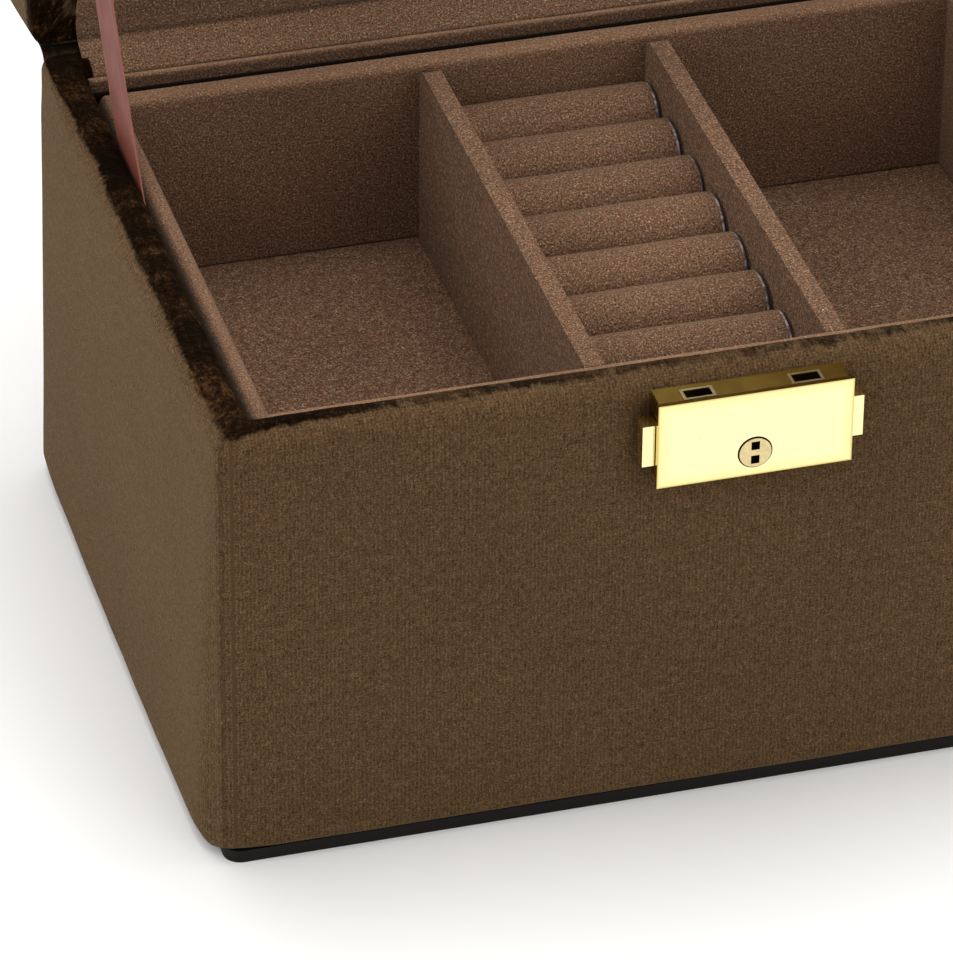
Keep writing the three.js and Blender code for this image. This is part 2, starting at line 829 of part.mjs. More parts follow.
// key plug: a turning barrel with a two-notch keyhole and a flat cam behind it
{
  let s = cyl("y", PLUG_R, -95.7, -92.0, LOCK_X, PLUG_Z, 32);
  s = s.subtract(box(LOCK_X - 1, LOCK_X + 1, -97, -93.4, PLUG_Z + 0.75, PLUG_Z + 2.9));
  s = s.subtract(box(LOCK_X - 1, LOCK_X + 1, -97, -93.4, PLUG_Z - 2.9, PLUG_Z - 0.75));
  s = s.add(cyl("y", 1.6, -92.2, -90.8, LOCK_X, PLUG_Z, 16));
  s = s.add(box(LOCK_X - 1.6, LOCK_X + 5.2, -91.8, -90.8, PLUG_Z - 1.5, PLUG_Z + 1.5));
  put("lock_plug", s, gold);
}
// strike on the lid with the two hooks that drop into the lock
{
  const z0 = LOCK_Z1 + 1.2;
  const back = -HD - GAP;
  let s = box(LOCK_X - LW, LOCK_X + LW, -94.2, back, z0, z0 + 10.4);
  for (const sx of [-1, 1]) {
    s = s.add(
      box(
        LOCK_X + sx * SLOT_X - 2.4,
        LOCK_X + sx * SLOT_X + 2.4,
        -92.5,
        -90.8,
        104.4,
        z0 + 1,
      ).subtract(
        box(
          LOCK_X + sx * (SLOT_X - 2.4) - 0.9,
          LOCK_X + sx * (SLOT_X - 2.4) + 0.9,
          -95,
          -85,
          105.9,
          108.1,
        ),
      ),
    );
    s = s.add(
      cyl("y", 1.35, back - 0.5, -79.2, LOCK_X + sx * 14, 121.6, 12),
    );
  }
  put("lid_strike_plate", s, gold, lidInner);
}

export default group;
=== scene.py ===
import math
import random

import bpy
import numpy as np
from mathutils import Matrix, Vector, noise


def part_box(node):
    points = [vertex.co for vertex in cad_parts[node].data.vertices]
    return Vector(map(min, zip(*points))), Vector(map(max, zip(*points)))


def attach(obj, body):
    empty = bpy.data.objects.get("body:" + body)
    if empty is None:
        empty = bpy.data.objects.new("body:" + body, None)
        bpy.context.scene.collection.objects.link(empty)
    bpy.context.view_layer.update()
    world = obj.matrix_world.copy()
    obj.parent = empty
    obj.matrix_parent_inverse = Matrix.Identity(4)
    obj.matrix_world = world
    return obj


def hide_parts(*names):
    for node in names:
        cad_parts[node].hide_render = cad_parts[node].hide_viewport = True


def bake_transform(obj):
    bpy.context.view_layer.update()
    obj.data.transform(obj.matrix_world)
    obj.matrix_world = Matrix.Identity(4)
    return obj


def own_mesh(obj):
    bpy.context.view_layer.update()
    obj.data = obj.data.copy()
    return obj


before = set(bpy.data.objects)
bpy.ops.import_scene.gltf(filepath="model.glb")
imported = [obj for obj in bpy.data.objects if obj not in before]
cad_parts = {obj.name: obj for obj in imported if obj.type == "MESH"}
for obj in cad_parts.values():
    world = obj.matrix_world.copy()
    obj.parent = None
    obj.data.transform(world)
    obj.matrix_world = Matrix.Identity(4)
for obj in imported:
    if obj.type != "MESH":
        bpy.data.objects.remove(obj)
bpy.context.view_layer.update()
MM = 0.001
scene = bpy.context.scene

# ------------------------------------------------------------------ camera
cam_data = bpy.data.cameras.new("camera")
cam = bpy.data.objects.new("camera", cam_data)
scene.collection.objects.link(cam)
scene.camera = cam
cam_data.sensor_width = 36.0
cam_data.lens = 251.4
cam_data.shift_x = -0.0026
cam_data.shift_y = -0.0072
cam_data.clip_start = 0.05
cam_data.clip_end = 50
AZ, EL, ROLL = math.radians(-16.29), math.radians(33.57), math.radians(0.63)
right = Vector((math.cos(AZ), math.sin(AZ), 0))
back = Vector((math.sin(AZ) * math.cos(EL), -math.cos(AZ) * math.cos(EL), math.sin(EL)))
up = back.cross(right)
r2 = right * math.cos(ROLL) + up * math.sin(ROLL)
u2 = -right * math.sin(ROLL) + up * math.cos(ROLL)
cam.location = (-0.4114, -1.2889, 0.9267)
cam.rotation_mode = "QUATERNION"
cam.rotation_quaternion = Matrix((r2, u2, back)).transposed().to_quaternion()

scene.view_settings.view_transform = "Standard"
scene.view_settings.look = "None"

# ---------------------------------------------------------- case dimensions
HW, HD = 120.0, 87.0
RIM_Z = 115.0
AXIS_Y, AXIS_Z = 88.2, 115.5
OPEN = math.radians(-98)
HINGE_X = (-64.0, 64.0)
LEAF_H = 15.6
LID_Z0, LID_Z1 = 115.8, 153.8
LOCK_X = 1.4


def opened(p):
    """Shut-lid coordinates (n, 3) to where they lie with the lid open, in mm."""
    p = np.asarray(p, float)
    q = p.copy()
    dy, dz = p[:, 1] - AXIS_Y, p[:, 2] - AXIS_Z
    q[:, 1] = AXIS_Y + dy * math.cos(OPEN) - dz * math.sin(OPEN)
    q[:, 2] = AXIS_Z + dy * math.sin(OPEN) + dz * math.cos(OPEN)
    return q


# ------------------------------------------------------------- node helpers
class Mat:
    """A small builder for procedural materials."""

    def __init__(self, name):
        self.m = bpy.data.materials.new(name)
        self.m.use_nodes = True
        self.t = self.m.node_tree
        self.t.nodes.clear()
        self.out = self.t.nodes.new("ShaderNodeOutputMaterial")
        self.b = self.t.nodes.new("ShaderNodeBsdfPrincipled")
        self.t.links.new(self.b.outputs[0], self.out.inputs[0])

    def n(self, kind, **kw):
        node = self.t.nodes.new("ShaderNode" + kind)
        for k, v in kw.items():
            setattr(node, k, v)
        return node

    def link(self, a, b):
        self.t.links.new(a, b)

    def set(self, **kw):
        for k, v in kw.items():
            self.b.inputs[k.replace("_", " ")].default_value = v

    def coords(self, scale=(1, 1, 1), attr="tex"):
        """Texture coordinates in metres, from the mesh's own attribute or the object."""
        mp = self.n("Mapping")
        mp.inputs["Scale"].default_value = scale
        if attr:
            a = self.n("Attribute", attribute_name=attr)
            self.link(a.outputs["Vector"], mp.inputs["Vector"])
        else:
            tc = self.n("TexCoord")
            self.link(tc.outputs["Object"], mp.inputs["Vector"])
        return mp.outputs["Vector"]

    def noise(self, vec, scale, detail=2.0, rough=0.5, dist=0.0):
        t = self.n("TexNoise")
        t.inputs["Scale"].default_value = scale
        t.inputs["Detail"].default_value = detail
        t.inputs["Roughness"].default_value = rough
        t.inputs["Distortion"].default_value = dist
        self.link(vec, t.inputs["Vector"])
        return t.outputs["Fac"]

    def ramp(self, fac, stops, interp="LINEAR"):
        r = self.n("ValToRGB")
        r.color_ramp.interpolation = interp
        els = r.color_ramp.elements
        while len(els) < len(stops):
            els.new(0.5)
        for e, (p, c) in zip(els, stops):
            e.position = p
            e.color = c if len(c) == 4 else (*c, 1)
        self.link(fac, r.inputs["Fac"])
        return r.outputs["Color"]

    def math(self, op, a, b=0.0, c=None, clamp=False):
        m = self.n("Math", operation=op, use_clamp=clamp)
        for i, v in enumerate((a, b, c)):
            if v is None:
                continue
            if isinstance(v, (int, float)):
                m.inputs[i].default_value = v
            else:
                self.link(v, m.inputs[i])
        return m.outputs[0]

    def mix(self, fac, a, b, blend="MIX"):
        m = self.n("Mix", data_type="RGBA", blend_type=blend)
        for sock, v in ((m.inputs[0], fac), (m.inputs[6], a), (m.inputs[7], b)):
            if isinstance(v, (int, float)):
                sock.default_value = v
            elif isinstance(v, tuple):
                sock.default_value = v if len(v) == 4 else (*v, 1)
            else:
                self.link(v, sock)
        return m.outputs[2]

    def attr(self, name):
        return self.n("Attribute", attribute_name=name).outputs["Fac"]

    def bump(self, height, strength=0.3, distance=0.0001, normal=None):
        b = self.n("Bump")
        b.inputs["Strength"].default_value = strength
        b.inputs["Distance"].default_value = distance
        self.link(height, b.inputs["Height"])
        if normal is not None:
            self.link(normal, b.inputs["Normal"])
        return b.outputs["Normal"]


def srgb(r, g, b):
    def f(c):
        c /= 255
        return c / 12.92 if c <= 0.04045 else ((c + 0.055) / 1.055) ** 2.4

    return (f(r), f(g), f(b))


# ---------------------------------------------------------------- materials
def make_velvet(name, sheen, spec):
    """The pile; brushed flat and dark along the rims, it catches less light."""
    m = Mat(name)
    # tex: x along the wall, y up the wall, both in metres
    v = m.coords((1, 1, 1))
    rib = m.n("TexWave", wave_type="BANDS", bands_direction="X", wave_profile="SIN")
    rib.inputs["Scale"].default_value = 345
    rib.inputs["Distortion"].default_value = 5.0
    rib.inputs["Detail"].default_value = 2.0
    rib.inputs["Detail Scale"].default_value = 2.2
    m.link(v, rib.inputs["Vector"])
    row = m.n("TexWave", wave_type="BANDS", bands_direction="Y", wave_profile="SIN")
    row.inputs["Scale"].default_value = 430
    row.inputs["Distortion"].default_value = 6.0
    row.inputs["Detail"].default_value = 2.0
    row.inputs["Detail Scale"].default_value = 2.5
    m.link(v, row.inputs["Vector"])
    grain = m.noise(m.coords((1, 0.6, 1)), 3000, 2, 0.62)
    grain2 = m.noise(m.coords((1, 0.5, 1)), 1300, 2, 0.55)
    nap = m.noise(v, 20, 3, 0.55, 0.5)
    g = m.math("MULTIPLY_ADD", grain, 0.55, m.math("MULTIPLY", grain2, 0.27))
    g = m.math("MULTIPLY_ADD", rib.outputs["Fac"], 0.06, g)
    g = m.math("MULTIPLY_ADD", row.outputs["Fac"], 0.05, g)
    mott = m.noise(m.coords((1, 0.7, 1)), 420, 3, 0.65)
    g = m.math("MULTIPLY_ADD", mott, 0.16, m.math("SUBTRACT", g, 0.05))
    col = m.ramp(
        g,
        [
            (0.34, srgb(38, 27, 15)),
            (0.46, srgb(70, 53, 34)),
            (0.57, srgb(92, 71, 48)),
            (0.70, srgb(126, 101, 72)),
        ],
    )
    red = m.noise(m.coords((1, 0.6, 1)), 1500, 2, 0.5)
    col = m.mix(
        m.math("MULTIPLY", m.math("SUBTRACT", red, 0.54, clamp=True), 2.2, clamp=True),
        col,
        srgb(92, 56, 40),
    )
    big = m.ramp(nap, [(0.3, (0.93, 0.93, 0.93)), (0.7, (1.06, 1.06, 1.06))])
    col = m.mix(1.0, col, big, "MULTIPLY")
    # pile brushed over the rim: almost black, with lighter strokes
    rim = m.attr("rim")
    stroke = m.noise(m.coords((0.4, 1, 1)), 560, 4, 0.7)
    fleck = m.noise(m.coords((0.5, 1, 1)), 1700, 2, 0.6)
    patch = m.noise(m.coords((1, 0.35, 1)), 62, 3, 0.6, 0.6)
    spike = m.noise(m.coords((1, 0.5, 1)), 520, 4, 0.75, 0.8)
    tuft = m.noise(m.coords((1, 0.5, 1)), 170, 3, 0.65, 0.6)
    d = m.math("MULTIPLY_ADD", stroke, 0.42, m.math("MULTIPLY", patch, 0.50))
    d = m.math("MULTIPLY_ADD", fleck, 0.30, d)
    d = m.math("MULTIPLY_ADD", m.math("SUBTRACT", spike, 0.5), 0.30, d)
    d = m.math("MULTIPLY_ADD", m.math("SUBTRACT", tuft, 0.5), 0.25, d)
    d = m.math("ADD", d, -0.095)
    dark = m.ramp(
        d,
        [
            (0.46, srgb(8, 3, 0)),
            (0.56, srgb(26, 13, 4)),
            (0.64, srgb(56, 36, 18)),
            (0.76, srgb(98, 72, 44)),
        ],
    )
    # the border of the brushed band is ragged
    edge = m.math("MULTIPLY_ADD", m.math("SUBTRACT", spike, 0.5), 2.0, rim)
    edge = m.math("MULTIPLY_ADD", m.math("SUBTRACT", tuft, 0.5), 1.3, edge)
    edge = m.math("MULTIPLY_ADD", m.math("SUBTRACT", patch, 0.5), 0.8, edge)
    edge = m.math("MULTIPLY_ADD", m.math("SUBTRACT", edge, 0.5), 1.9, 0.5, clamp=True)
    edge = m.math("MULTIPLY", edge, m.math("MULTIPLY", rim, 8.0, clamp=True))
    col = m.mix(edge, col, dark)
    # painted shade: near-black in the corners' creases, under the lock plate and in the hinge gap
    painted_shade = m.attr("painted_shade")
    col = m.mix(m.math("MULTIPLY", painted_shade, 0.96), col, srgb(9, 5, 2))
    m.link(col, m.b.inputs["Base Color"])
    m.set(Roughness=0.9)
    m.b.inputs["Specular IOR Level"].default_value = spec
    m.b.inputs["Sheen Weight"].default_value = sheen
    m.b.inputs["Sheen Roughness"].default_value = 0.4
    m.b.inputs["Sheen Tint"].default_value = (*srgb(214, 186, 140), 1)
    h = m.math("MULTIPLY_ADD", rib.outputs["Fac"], 0.25, grain)
    h = m.math("MULTIPLY_ADD", row.outputs["Fac"], 0.12, h)
    h = m.math("MULTIPLY_ADD", m.math("MULTIPLY_ADD", spike, 1.9, m.math("MULTIPLY", tuft, 3.0)), edge, h)
    m.link(m.bump(h, 0.6, 0.0004), m.b.inputs["Normal"])
    return m.m


def make_flock(name, attr, base=(104, 80, 62), tone=1.0):
    m = Mat(name)
    v = m.coords((1, 1, 1), attr)
    speck = m.noise(v, 1900, 2, 0.75)
    fine = m.noise(v, 3600, 1, 0.5)
    mid = m.noise(v, 520, 3, 0.6)
    big = m.noise(v, 22, 3, 0.5, 0.3)
    s = m.math("MULTIPLY_ADD", speck, 0.62, m.math("MULTIPLY", fine, 0.26))
    s = m.math("MULTIPLY_ADD", mid, 0.12, s)
    r, g, b = base
    col = m.ramp(
        s,
        [
            (0.36, srgb(r * 0.34 * tone, g * 0.28 * tone, b * 0.25 * tone)),
            (0.46, srgb(r * 0.80 * tone, g * 0.77 * tone, b * 0.75 * tone)),
            (0.55, srgb(r * 1.10 * tone, g * 1.09 * tone, b * 1.08 * tone)),
            (0.66, srgb(min(r * 1.72, 255) * tone, g * 1.82 * tone, b * 1.9 * tone)),
        ],
    )
    warm = m.noise(v, 760, 2, 0.5)
    col = m.mix(
        m.math("MULTIPLY", m.math("SUBTRACT", warm, 0.5, clamp=True), 1.6, clamp=True),
        col,
        srgb(r * 1.15, g * 0.86, b * 0.72),
    )
    col = m.mix(
        1.0, col, m.ramp(big, [(0.3, (0.88, 0.88, 0.88)), (0.7, (1.1, 1.1, 1.1))]), "MULTIPLY"
    )
    # a few pale fibres and dust specks
    lint = m.n("TexVoronoi", feature="F1")
    lint.inputs["Scale"].default_value = 210
    m.link(v, lint.inputs["Vector"])
    pick = m.n("SeparateColor")
    m.link(lint.outputs["Color"], pick.inputs[0])
    dot = m.math("LESS_THAN", lint.outputs["Distance"], 0.055)
    dot = m.math("MULTIPLY", dot, m.math("GREATER_THAN", pick.outputs[0], 0.93))
    col = m.mix(m.math("MULTIPLY", dot, 0.75), col, srgb(196, 182, 168))
    # painted highlight: lighter where the lit attribute is set, on the hem's crest and the tray walls' rounded tops
    col = m.mix(m.math("MULTIPLY", m.attr("lit"), 0.5), col, srgb(min(r * 1.5, 255), g * 1.5, b * 1.5))
    # painted shade: darker where the shade attribute is set
    col = m.mix(m.attr("shade"), col, srgb(12, 7, 4))
    m.link(col, m.b.inputs["Base Color"])
    m.set(Roughness=0.96)
    m.b.inputs["Specular IOR Level"].default_value = 0.12
    m.b.inputs["Sheen Weight"].default_value = 0.1
    m.b.inputs["Sheen Roughness"].default_value = 0.5
    m.b.inputs["Sheen Tint"].default_value = (*srgb(222, 196, 168), 1)
    m.link(m.bump(s, 0.8, 0.00035), m.b.inputs["Normal"])
    return m.m


def make_satin():
    m = Mat("satin_ribbon")
    v = m.coords((1, 1, 1))
    weft = m.n("TexWave", wave_type="BANDS", bands_direction="Y", wave_profile="SIN")
    weft.inputs["Scale"].default_value = 900
    weft.inputs["Distortion"].default_value = 1.2
    m.link(v, weft.inputs["Vector"])
    streak = m.noise(m.coords((1, 0.04, 1)), 1500, 3, 0.6)
    nap = m.noise(v, 90, 2, 0.5)
    f = m.math("MULTIPLY_ADD", streak, 0.55, m.math("MULTIPLY", nap, 0.35))
    f = m.math("MULTIPLY_ADD", weft.outputs["Fac"], 0.10, f)
    col = m.ramp(
        f,
        [
            (0.34, srgb(80, 31, 22)),
            (0.5, srgb(110, 53, 41)),
            (0.66, srgb(142, 80, 62)),
        ],
    )
    edge = m.attr("selvedge")
    speck = m.noise(v, 1500, 3, 0.7)
    col = m.mix(m.math("MULTIPLY", m.math("SUBTRACT", speck, 0.52, clamp=True), 2.4, clamp=True), col, srgb(84, 34, 26))
    col = m.mix(m.math("MULTIPLY", edge, 0.5), col, srgb(146, 92, 80))
    m.link(col, m.b.inputs["Base Color"])
    m.set(Roughness=0.55)
    m.b.inputs["Specular IOR Level"].default_value = 0.3
    m.b.inputs["Sheen Weight"].default_value = 0.1
    m.b.inputs["Sheen Roughness"].default_value = 0.3
    m.b.inputs["Sheen Tint"].default_value = (*srgb(224, 168, 150), 1)
    m.b.inputs["Anisotropic"].default_value = 0.4
    h = m.math("MULTIPLY_ADD", weft.outputs["Fac"], 0.6, streak)
    m.link(m.bump(h, 0.25, 0.00008), m.b.inputs["Normal"])
    return m.m


def make_gold(name, base, rough=0.09, smudge=0.06, plate=None):
    m = Mat(name)
    v = m.coords((1, 1, 1), None)
    cloud = m.noise(v, 60, 3, 0.55, 0.5)
    hair = m.noise(m.coords((1, 1, 14), None), 900, 2, 0.6)
    pit = m.n("TexVoronoi", feature="F1")
    pit.inputs["Scale"].default_value = 260
    m.link(v, pit.inputs["Vector"])
    pick = m.n("SeparateColor")
    m.link(pit.outputs["Color"], pick.inputs[0])
    dot = m.math("LESS_THAN", pit.outputs["Distance"], 0.05)
    dot = m.math("MULTIPLY", dot, m.math("GREATER_THAN", pick.outputs[0], 0.955))
    col = m.mix(
        cloud,
        tuple(c * 0.96 for c in base),
        tuple(min(c * 1.03, 1.0) for c in base),
    )
    col = m.mix(m.math("MULTIPLY", dot, 0.5), col, srgb(120, 92, 30))
    if plate:
        # painted reflection: deeper, darker gold towards the plate's edges, with a dark line right at the edge, where
        # the rounded edges reflect less light
        xm, half, z0, z1 = plate
        sep = m.n("SeparateXYZ")
        m.link(v, sep.inputs[0])
        dx = m.math("SUBTRACT", half, m.math("ABSOLUTE", m.math("SUBTRACT", sep.outputs[0], xm)))
        dz = m.math("MINIMUM", m.math("SUBTRACT", sep.outputs[2], z0), m.math("SUBTRACT", z1, sep.outputs[2]))
        near = m.math("MINIMUM", dx, dz)
        soft = m.math("SUBTRACT", 1.0, m.math("MULTIPLY", near, 320.0, clamp=True))
        line = m.math("SUBTRACT", 1.0, m.math("MULTIPLY", near, 1900.0, clamp=True))
        col = m.mix(m.math("MULTIPLY", soft, 0.42), col, (0.86, 0.66, 0.18))
        col = m.mix(m.math("MULTIPLY", line, 0.75), col, (0.50, 0.34, 0.06))
    m.link(col, m.b.inputs["Base Color"])
    m.set(Metallic=1.0)
    r = m.math("MULTIPLY_ADD", cloud, smudge, rough - smudge * 0.5)
    r = m.math("MULTIPLY_ADD", hair, 0.03, r)
    m.link(r, m.b.inputs["Roughness"])
    h = m.math("MULTIPLY_ADD", dot, -1.0, m.math("MULTIPLY", hair, 0.25))
    m.link(m.bump(h, 0.05, 0.00006), m.b.inputs["Normal"])
    return m.m


def make_lock_case():
    """Gold like the plate on the raised slot rims; elsewhere painted darker, a painted reflection of the dark
    surroundings on its top and sides.
    """
    m = Mat("lock_case_gold")
    v = m.coords((1, 1, 1), None)
    sep = m.n("SeparateXYZ")
    m.link(v, sep.inputs[0])
    cloud = m.noise(v, 90, 3, 0.55, 0.5)
    hair = m.noise(m.coords((0.15, 1, 1), None), 1400, 3, 0.6)
    rim = m.math("GREATER_THAN", sep.outputs[2], 0.11262)
    # painted reflection: darker gold everywhere but on the raised slot rims
    painted_dark_gold = m.mix(cloud, (0.38, 0.22, 0.025), (0.60, 0.38, 0.06))
    painted_dark_gold = m.mix(m.math("MULTIPLY", hair, 0.5), painted_dark_gold, (0.62, 0.45, 0.12))
    col = m.mix(rim, painted_dark_gold, (1.0, 0.86, 0.44))
    m.link(col, m.b.inputs["Base Color"])
    m.set(Metallic=1.0)
    m.link(m.math("MULTIPLY_ADD", cloud, 0.16, 0.10), m.b.inputs["Roughness"])
    m.link(m.bump(hair, 0.06, 0.00005), m.b.inputs["Normal"])
    return m.m


def make_plug():
    m = Mat("plug")
    v = m.coords((1, 1, 1), None)
    sep = m.n("SeparateXYZ")
    m.link(v, sep.inputs[0])
    turn = m.noise(v, 700, 3, 0.6)
    cloud = m.noise(v, 160, 2, 0.5)
    col = m.mix(turn, srgb(186, 166, 116), srgb(236, 218, 168))
    # painted shade inside the keyway notches, deeper than the plug's face
    deep = m.math("GREATER_THAN", sep.outputs[1], -0.09555)
    col = m.mix(deep, col, (0.075, 0.045, 0.015))
    m.link(col, m.b.inputs["Base Color"])
    m.set(Metallic=1.0)
    m.link(m.math("MULTIPLY_ADD", cloud, 0.25, 0.2), m.b.inputs["Roughness"])
    m.link(m.bump(turn, 0.25, 0.0001), m.b.inputs["Normal"])
    return m.m


def make_board():
    m = Mat("greyboard")
    v = m.coords((1, 1, 1), None)
    fib = m.noise(m.coords((0.3, 1, 1), None), 700, 4, 0.7)
    mott = m.noise(v, 120, 3, 0.6)
    f = m.math("MULTIPLY_ADD", fib, 0.7, m.math("MULTIPLY", mott, 0.3))
    col = m.ramp(
        f,
        [
            (0.35, srgb(112, 104, 92)),
            (0.5, srgb(146, 138, 124)),
            (0.68, srgb(176, 168, 152)),
        ],
    )
    m.link(col, m.b.inputs["Base Color"])
    m.set(Roughness=0.9)
    m.link(m.bump(fib, 0.35, 0.0002), m.b.inputs["Normal"])
    return m.m


def make_sole():
    m = Mat("sole")
    v = m.coords((1, 1, 1), None)
    cell = m.n("TexVoronoi", feature="SMOOTH_F1")
    cell.inputs["Scale"].default_value = 900
    m.link(v, cell.inputs["Vector"])
    n = m.noise(v, 300, 4, 0.6)
    col = m.ramp(
        n,
        [
            (0.3, srgb(5, 4, 3)),
            (0.6, srgb(13, 11, 9)),
            (0.8, srgb(26, 22, 19)),
        ],
    )
    m.link(col, m.b.inputs["Base Color"])
    m.link(m.math("MULTIPLY_ADD", n, 0.3, 0.5), m.b.inputs["Roughness"])
    m.b.inputs["Specular IOR Level"].default_value = 0.2
    m.link(m.bump(cell.outputs["Distance"], 0.4, 0.00015), m.b.inputs["Normal"])
    return m.m


def make_mirror():
    m = Mat("mirror")
    v = m.coords((1, 1, 1), None)
    cloud = m.noise(v, 14, 3, 0.5)
    col = m.ramp(cloud, [(0.3, srgb(216, 221, 220)), (0.7, srgb(226, 230, 230))])
    m.link(col, m.b.inputs["Base Color"])
    m.set(Metallic=1.0)
    m.link(m.math("MULTIPLY_ADD", cloud, 0.02, 0.012), m.b.inputs["Roughness"])
    return m.m


def make_steel():
    m = Mat("steel")
    v = m.coords((1, 12, 12), None)
    n = m.noise(v, 160, 3, 0.6)
    col = m.ramp(n, [(0.3, srgb(140, 140, 138)), (0.7, srgb(178, 178, 175))])
    m.link(col, m.b.inputs["Base Color"])
    m.set(Metallic=1.0)
    m.link(m.math("MULTIPLY_ADD", n, 0.2, 0.22), m.b.inputs["Roughness"])
    m.link(m.bump(n, 0.1, 0.00005), m.b.inputs["Normal"])
    return m.m


def make_foam():
    m = Mat("foam_edge")
    v = m.coords((1, 1, 1))
    cell = m.n("TexVoronoi", feature="F1")
    cell.inputs["Scale"].default_value = 1600
    m.link(v, cell.inputs["Vector"])
    n = m.noise(v, 500, 3, 0.6)
    col = m.ramp(n, [(0.38, srgb(84, 66, 60)), (0.52, srgb(128, 118, 122)), (0.66, srgb(196, 190, 200))])
    m.link(col, m.b.inputs["Base Color"])
    m.set(Roughness=0.95)
    m.link(m.bump(cell.outputs["Distance"], 0.5, 0.0002), m.b.inputs["Normal"])
    return m.m


VELVET = make_velvet("velvet", 0.15, 0.06)
VELVET_MID = make_velvet("velvet_turned", 0.09, 0.04)
VELVET_RIM = make_velvet("velvet_brushed", 0.025, 0.02)
FLOCK = make_flock("flock", "tex")
FLOCK_CAD = make_flock("flock_cad", None)
SATIN = make_satin()
GOLD = make_gold("gold", (1.0, 0.87, 0.46))
GOLD_CASE = make_lock_case()
plate_lo, plate_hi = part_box("lock_front_plate")
GOLD_PLATE = make_gold(
    "gold_plate",
    (1.0, 0.88, 0.48),
    plate=((plate_lo.x + plate_hi.x) / 2, (plate_hi.x - plate_lo.x) / 2, plate_lo.z, plate_hi.z),
)
PLUG = make_plug()
BRASS = make_gold("brass", (0.78, 0.60, 0.28), 0.26, 0.12)
BOARD = make_board()
SOLE = make_sole()
MIRROR = make_mirror()
STEEL = make_steel()
FOAM = make_foam()


# -------------------------------------------------------------- mesh helpers
def brushed(o):
    """Gives each face of a velvet piece the velvet its rim value calls for."""
    me = o.data
    for mt in (VELVET_MID, VELVET_RIM):
        me.materials.append(mt)
    rim = [d.value for d in me.attributes["rim"].data]
    for f in me.polygons:
        r = sum(rim[v] for v in f.vertices) / len(f.vertices)
        f.material_index = 2 if r > 0.80 else 1 if r > 0.4 else 0


def mesh_object(name, verts_mm, faces, material, tex=None, attrs=None, smooth=True):
    """verts in mm; tex is a per-vertex texture coordinate in metres."""
    me = bpy.data.meshes.new(name)
    v = np.asarray(verts_mm, float) * MM
    me.from_pydata(v.tolist(), [], [list(map(int, f)) for f in faces])
    me.validate()
    o = bpy.data.objects.new(name, me)
    scene.collection.objects.link(o)
    for mt in material if isinstance(material, (list, tuple)) else [material]:
        me.materials.append(mt)
    a = me.attributes.new("tex", "FLOAT_VECTOR", "POINT")
    t = np.asarray(tex if tex is not None else v, np.float32)
    a.data.foreach_set("vector", t.ravel())
    for k, w in (attrs or {}).items():
        at = me.attributes.new(k, "FLOAT", "POINT")
        at.data.foreach_set("value", np.asarray(w, np.float32).ravel())
    if smooth:
        me.polygons.foreach_set("use_smooth", [True] * len(me.polygons))
    me.update()
    return o


def n3(x, y, z):
    return noise.noise(Vector((x, y, z)))


def perimeter(hw, hd, rc, step, extra_x=()):
    """Stations round a rounded rectangle: list of (side, point on the edge line, outward
    normal, running length). A ring at an inset is point - normal * inset."""
    st = []
    s = 0.0

    def line(p, q, nrm, marks=()):
        nonlocal s
        L = math.dist(p, q)
        n = max(2, round(L / step))
        ts = {i / n for i in range(n + 1)}
        for mx in marks:
            if p[0] != q[0]:
                t = (mx - p[0]) / (q[0] - p[0])
                if 0 < t < 1:
                    ts.add(t)
        ts = sorted(ts)
        clean = [ts[0]]
        for t in ts[1:]:
            if (t - clean[-1]) * L > 0.12:
                clean.append(t)
        clean[-1] = 1.0
        for t in clean[:-1]:
            st.append(((p[0] + (q[0] - p[0]) * t, p[1] + (q[1] - p[1]) * t), nrm, s + L * t, None))
        s += L

    def corner(c, a0, n=8):
        nonlocal s
        for i in range(n):
            a = math.radians(a0 + 90 * i / n)
            st.append((c, (math.cos(a), math.sin(a)), s + rc * math.radians(90 * i / n), (i / n)))
        s += rc * math.pi / 2

    # counter-clockwise from the front left
    line((-hw + rc, -hd), (hw - rc, -hd), (0, -1))
    corner((hw - rc, -hd + rc), -90)
    line((hw, -hd + rc), (hw, hd - rc), (1, 0))
    corner((hw - rc, hd - rc), 0)
    line((hw - rc, hd), (-hw + rc, hd), (0, 1), extra_x)
    corner((-hw + rc, hd - rc), 90)
    line((-hw, hd - rc), (-hw, -hd + rc), (-1, 0))
    corner((-hw + rc, -hd + rc), 180)
    return st, s


def draw_in(c, half, k, least=7.3):
    """Coordinate c along a wall of half length half, with its ends drawn in by k."""
    band = min(half, max(least, 1.15 * k))
    over = abs(c) - (half - band)
    if over <= 0:
        return c
    return math.copysign(half - band + over * (band - k) / band, c)


def ring_xy(station, inset, rc, hw=HW, hd=HD):
    p, n, _, cr = station
    if cr is None:
        x, y = p[0] - n[0] * inset, p[1] - n[1] * inset
        # past the corner centre the walls' rings meet on a mitre
        k = inset - (rc - 0.35)
        if k > 0 and n[0] == 0:
            x = draw_in(x, hw - rc, k, 7.3 if n[1] > 0 else 16)
        elif k > 0:
            y = draw_in(y, hd - rc, k, 16)
        return x, y
    r = rc - inset
    if r >= 0.35:
        return p[0] + n[0] * r, p[1] + n[1] * r
    # inside the corner centre the ring keeps a small radius of its own
    k = inset - (rc - 0.35)
    sx = 1 if p[0] > 0 else -1
    sy = 1 if p[1] > 0 else -1
    return p[0] - sx * k + n[0] * 0.35, p[1] - sy * k + n[1] * 0.35


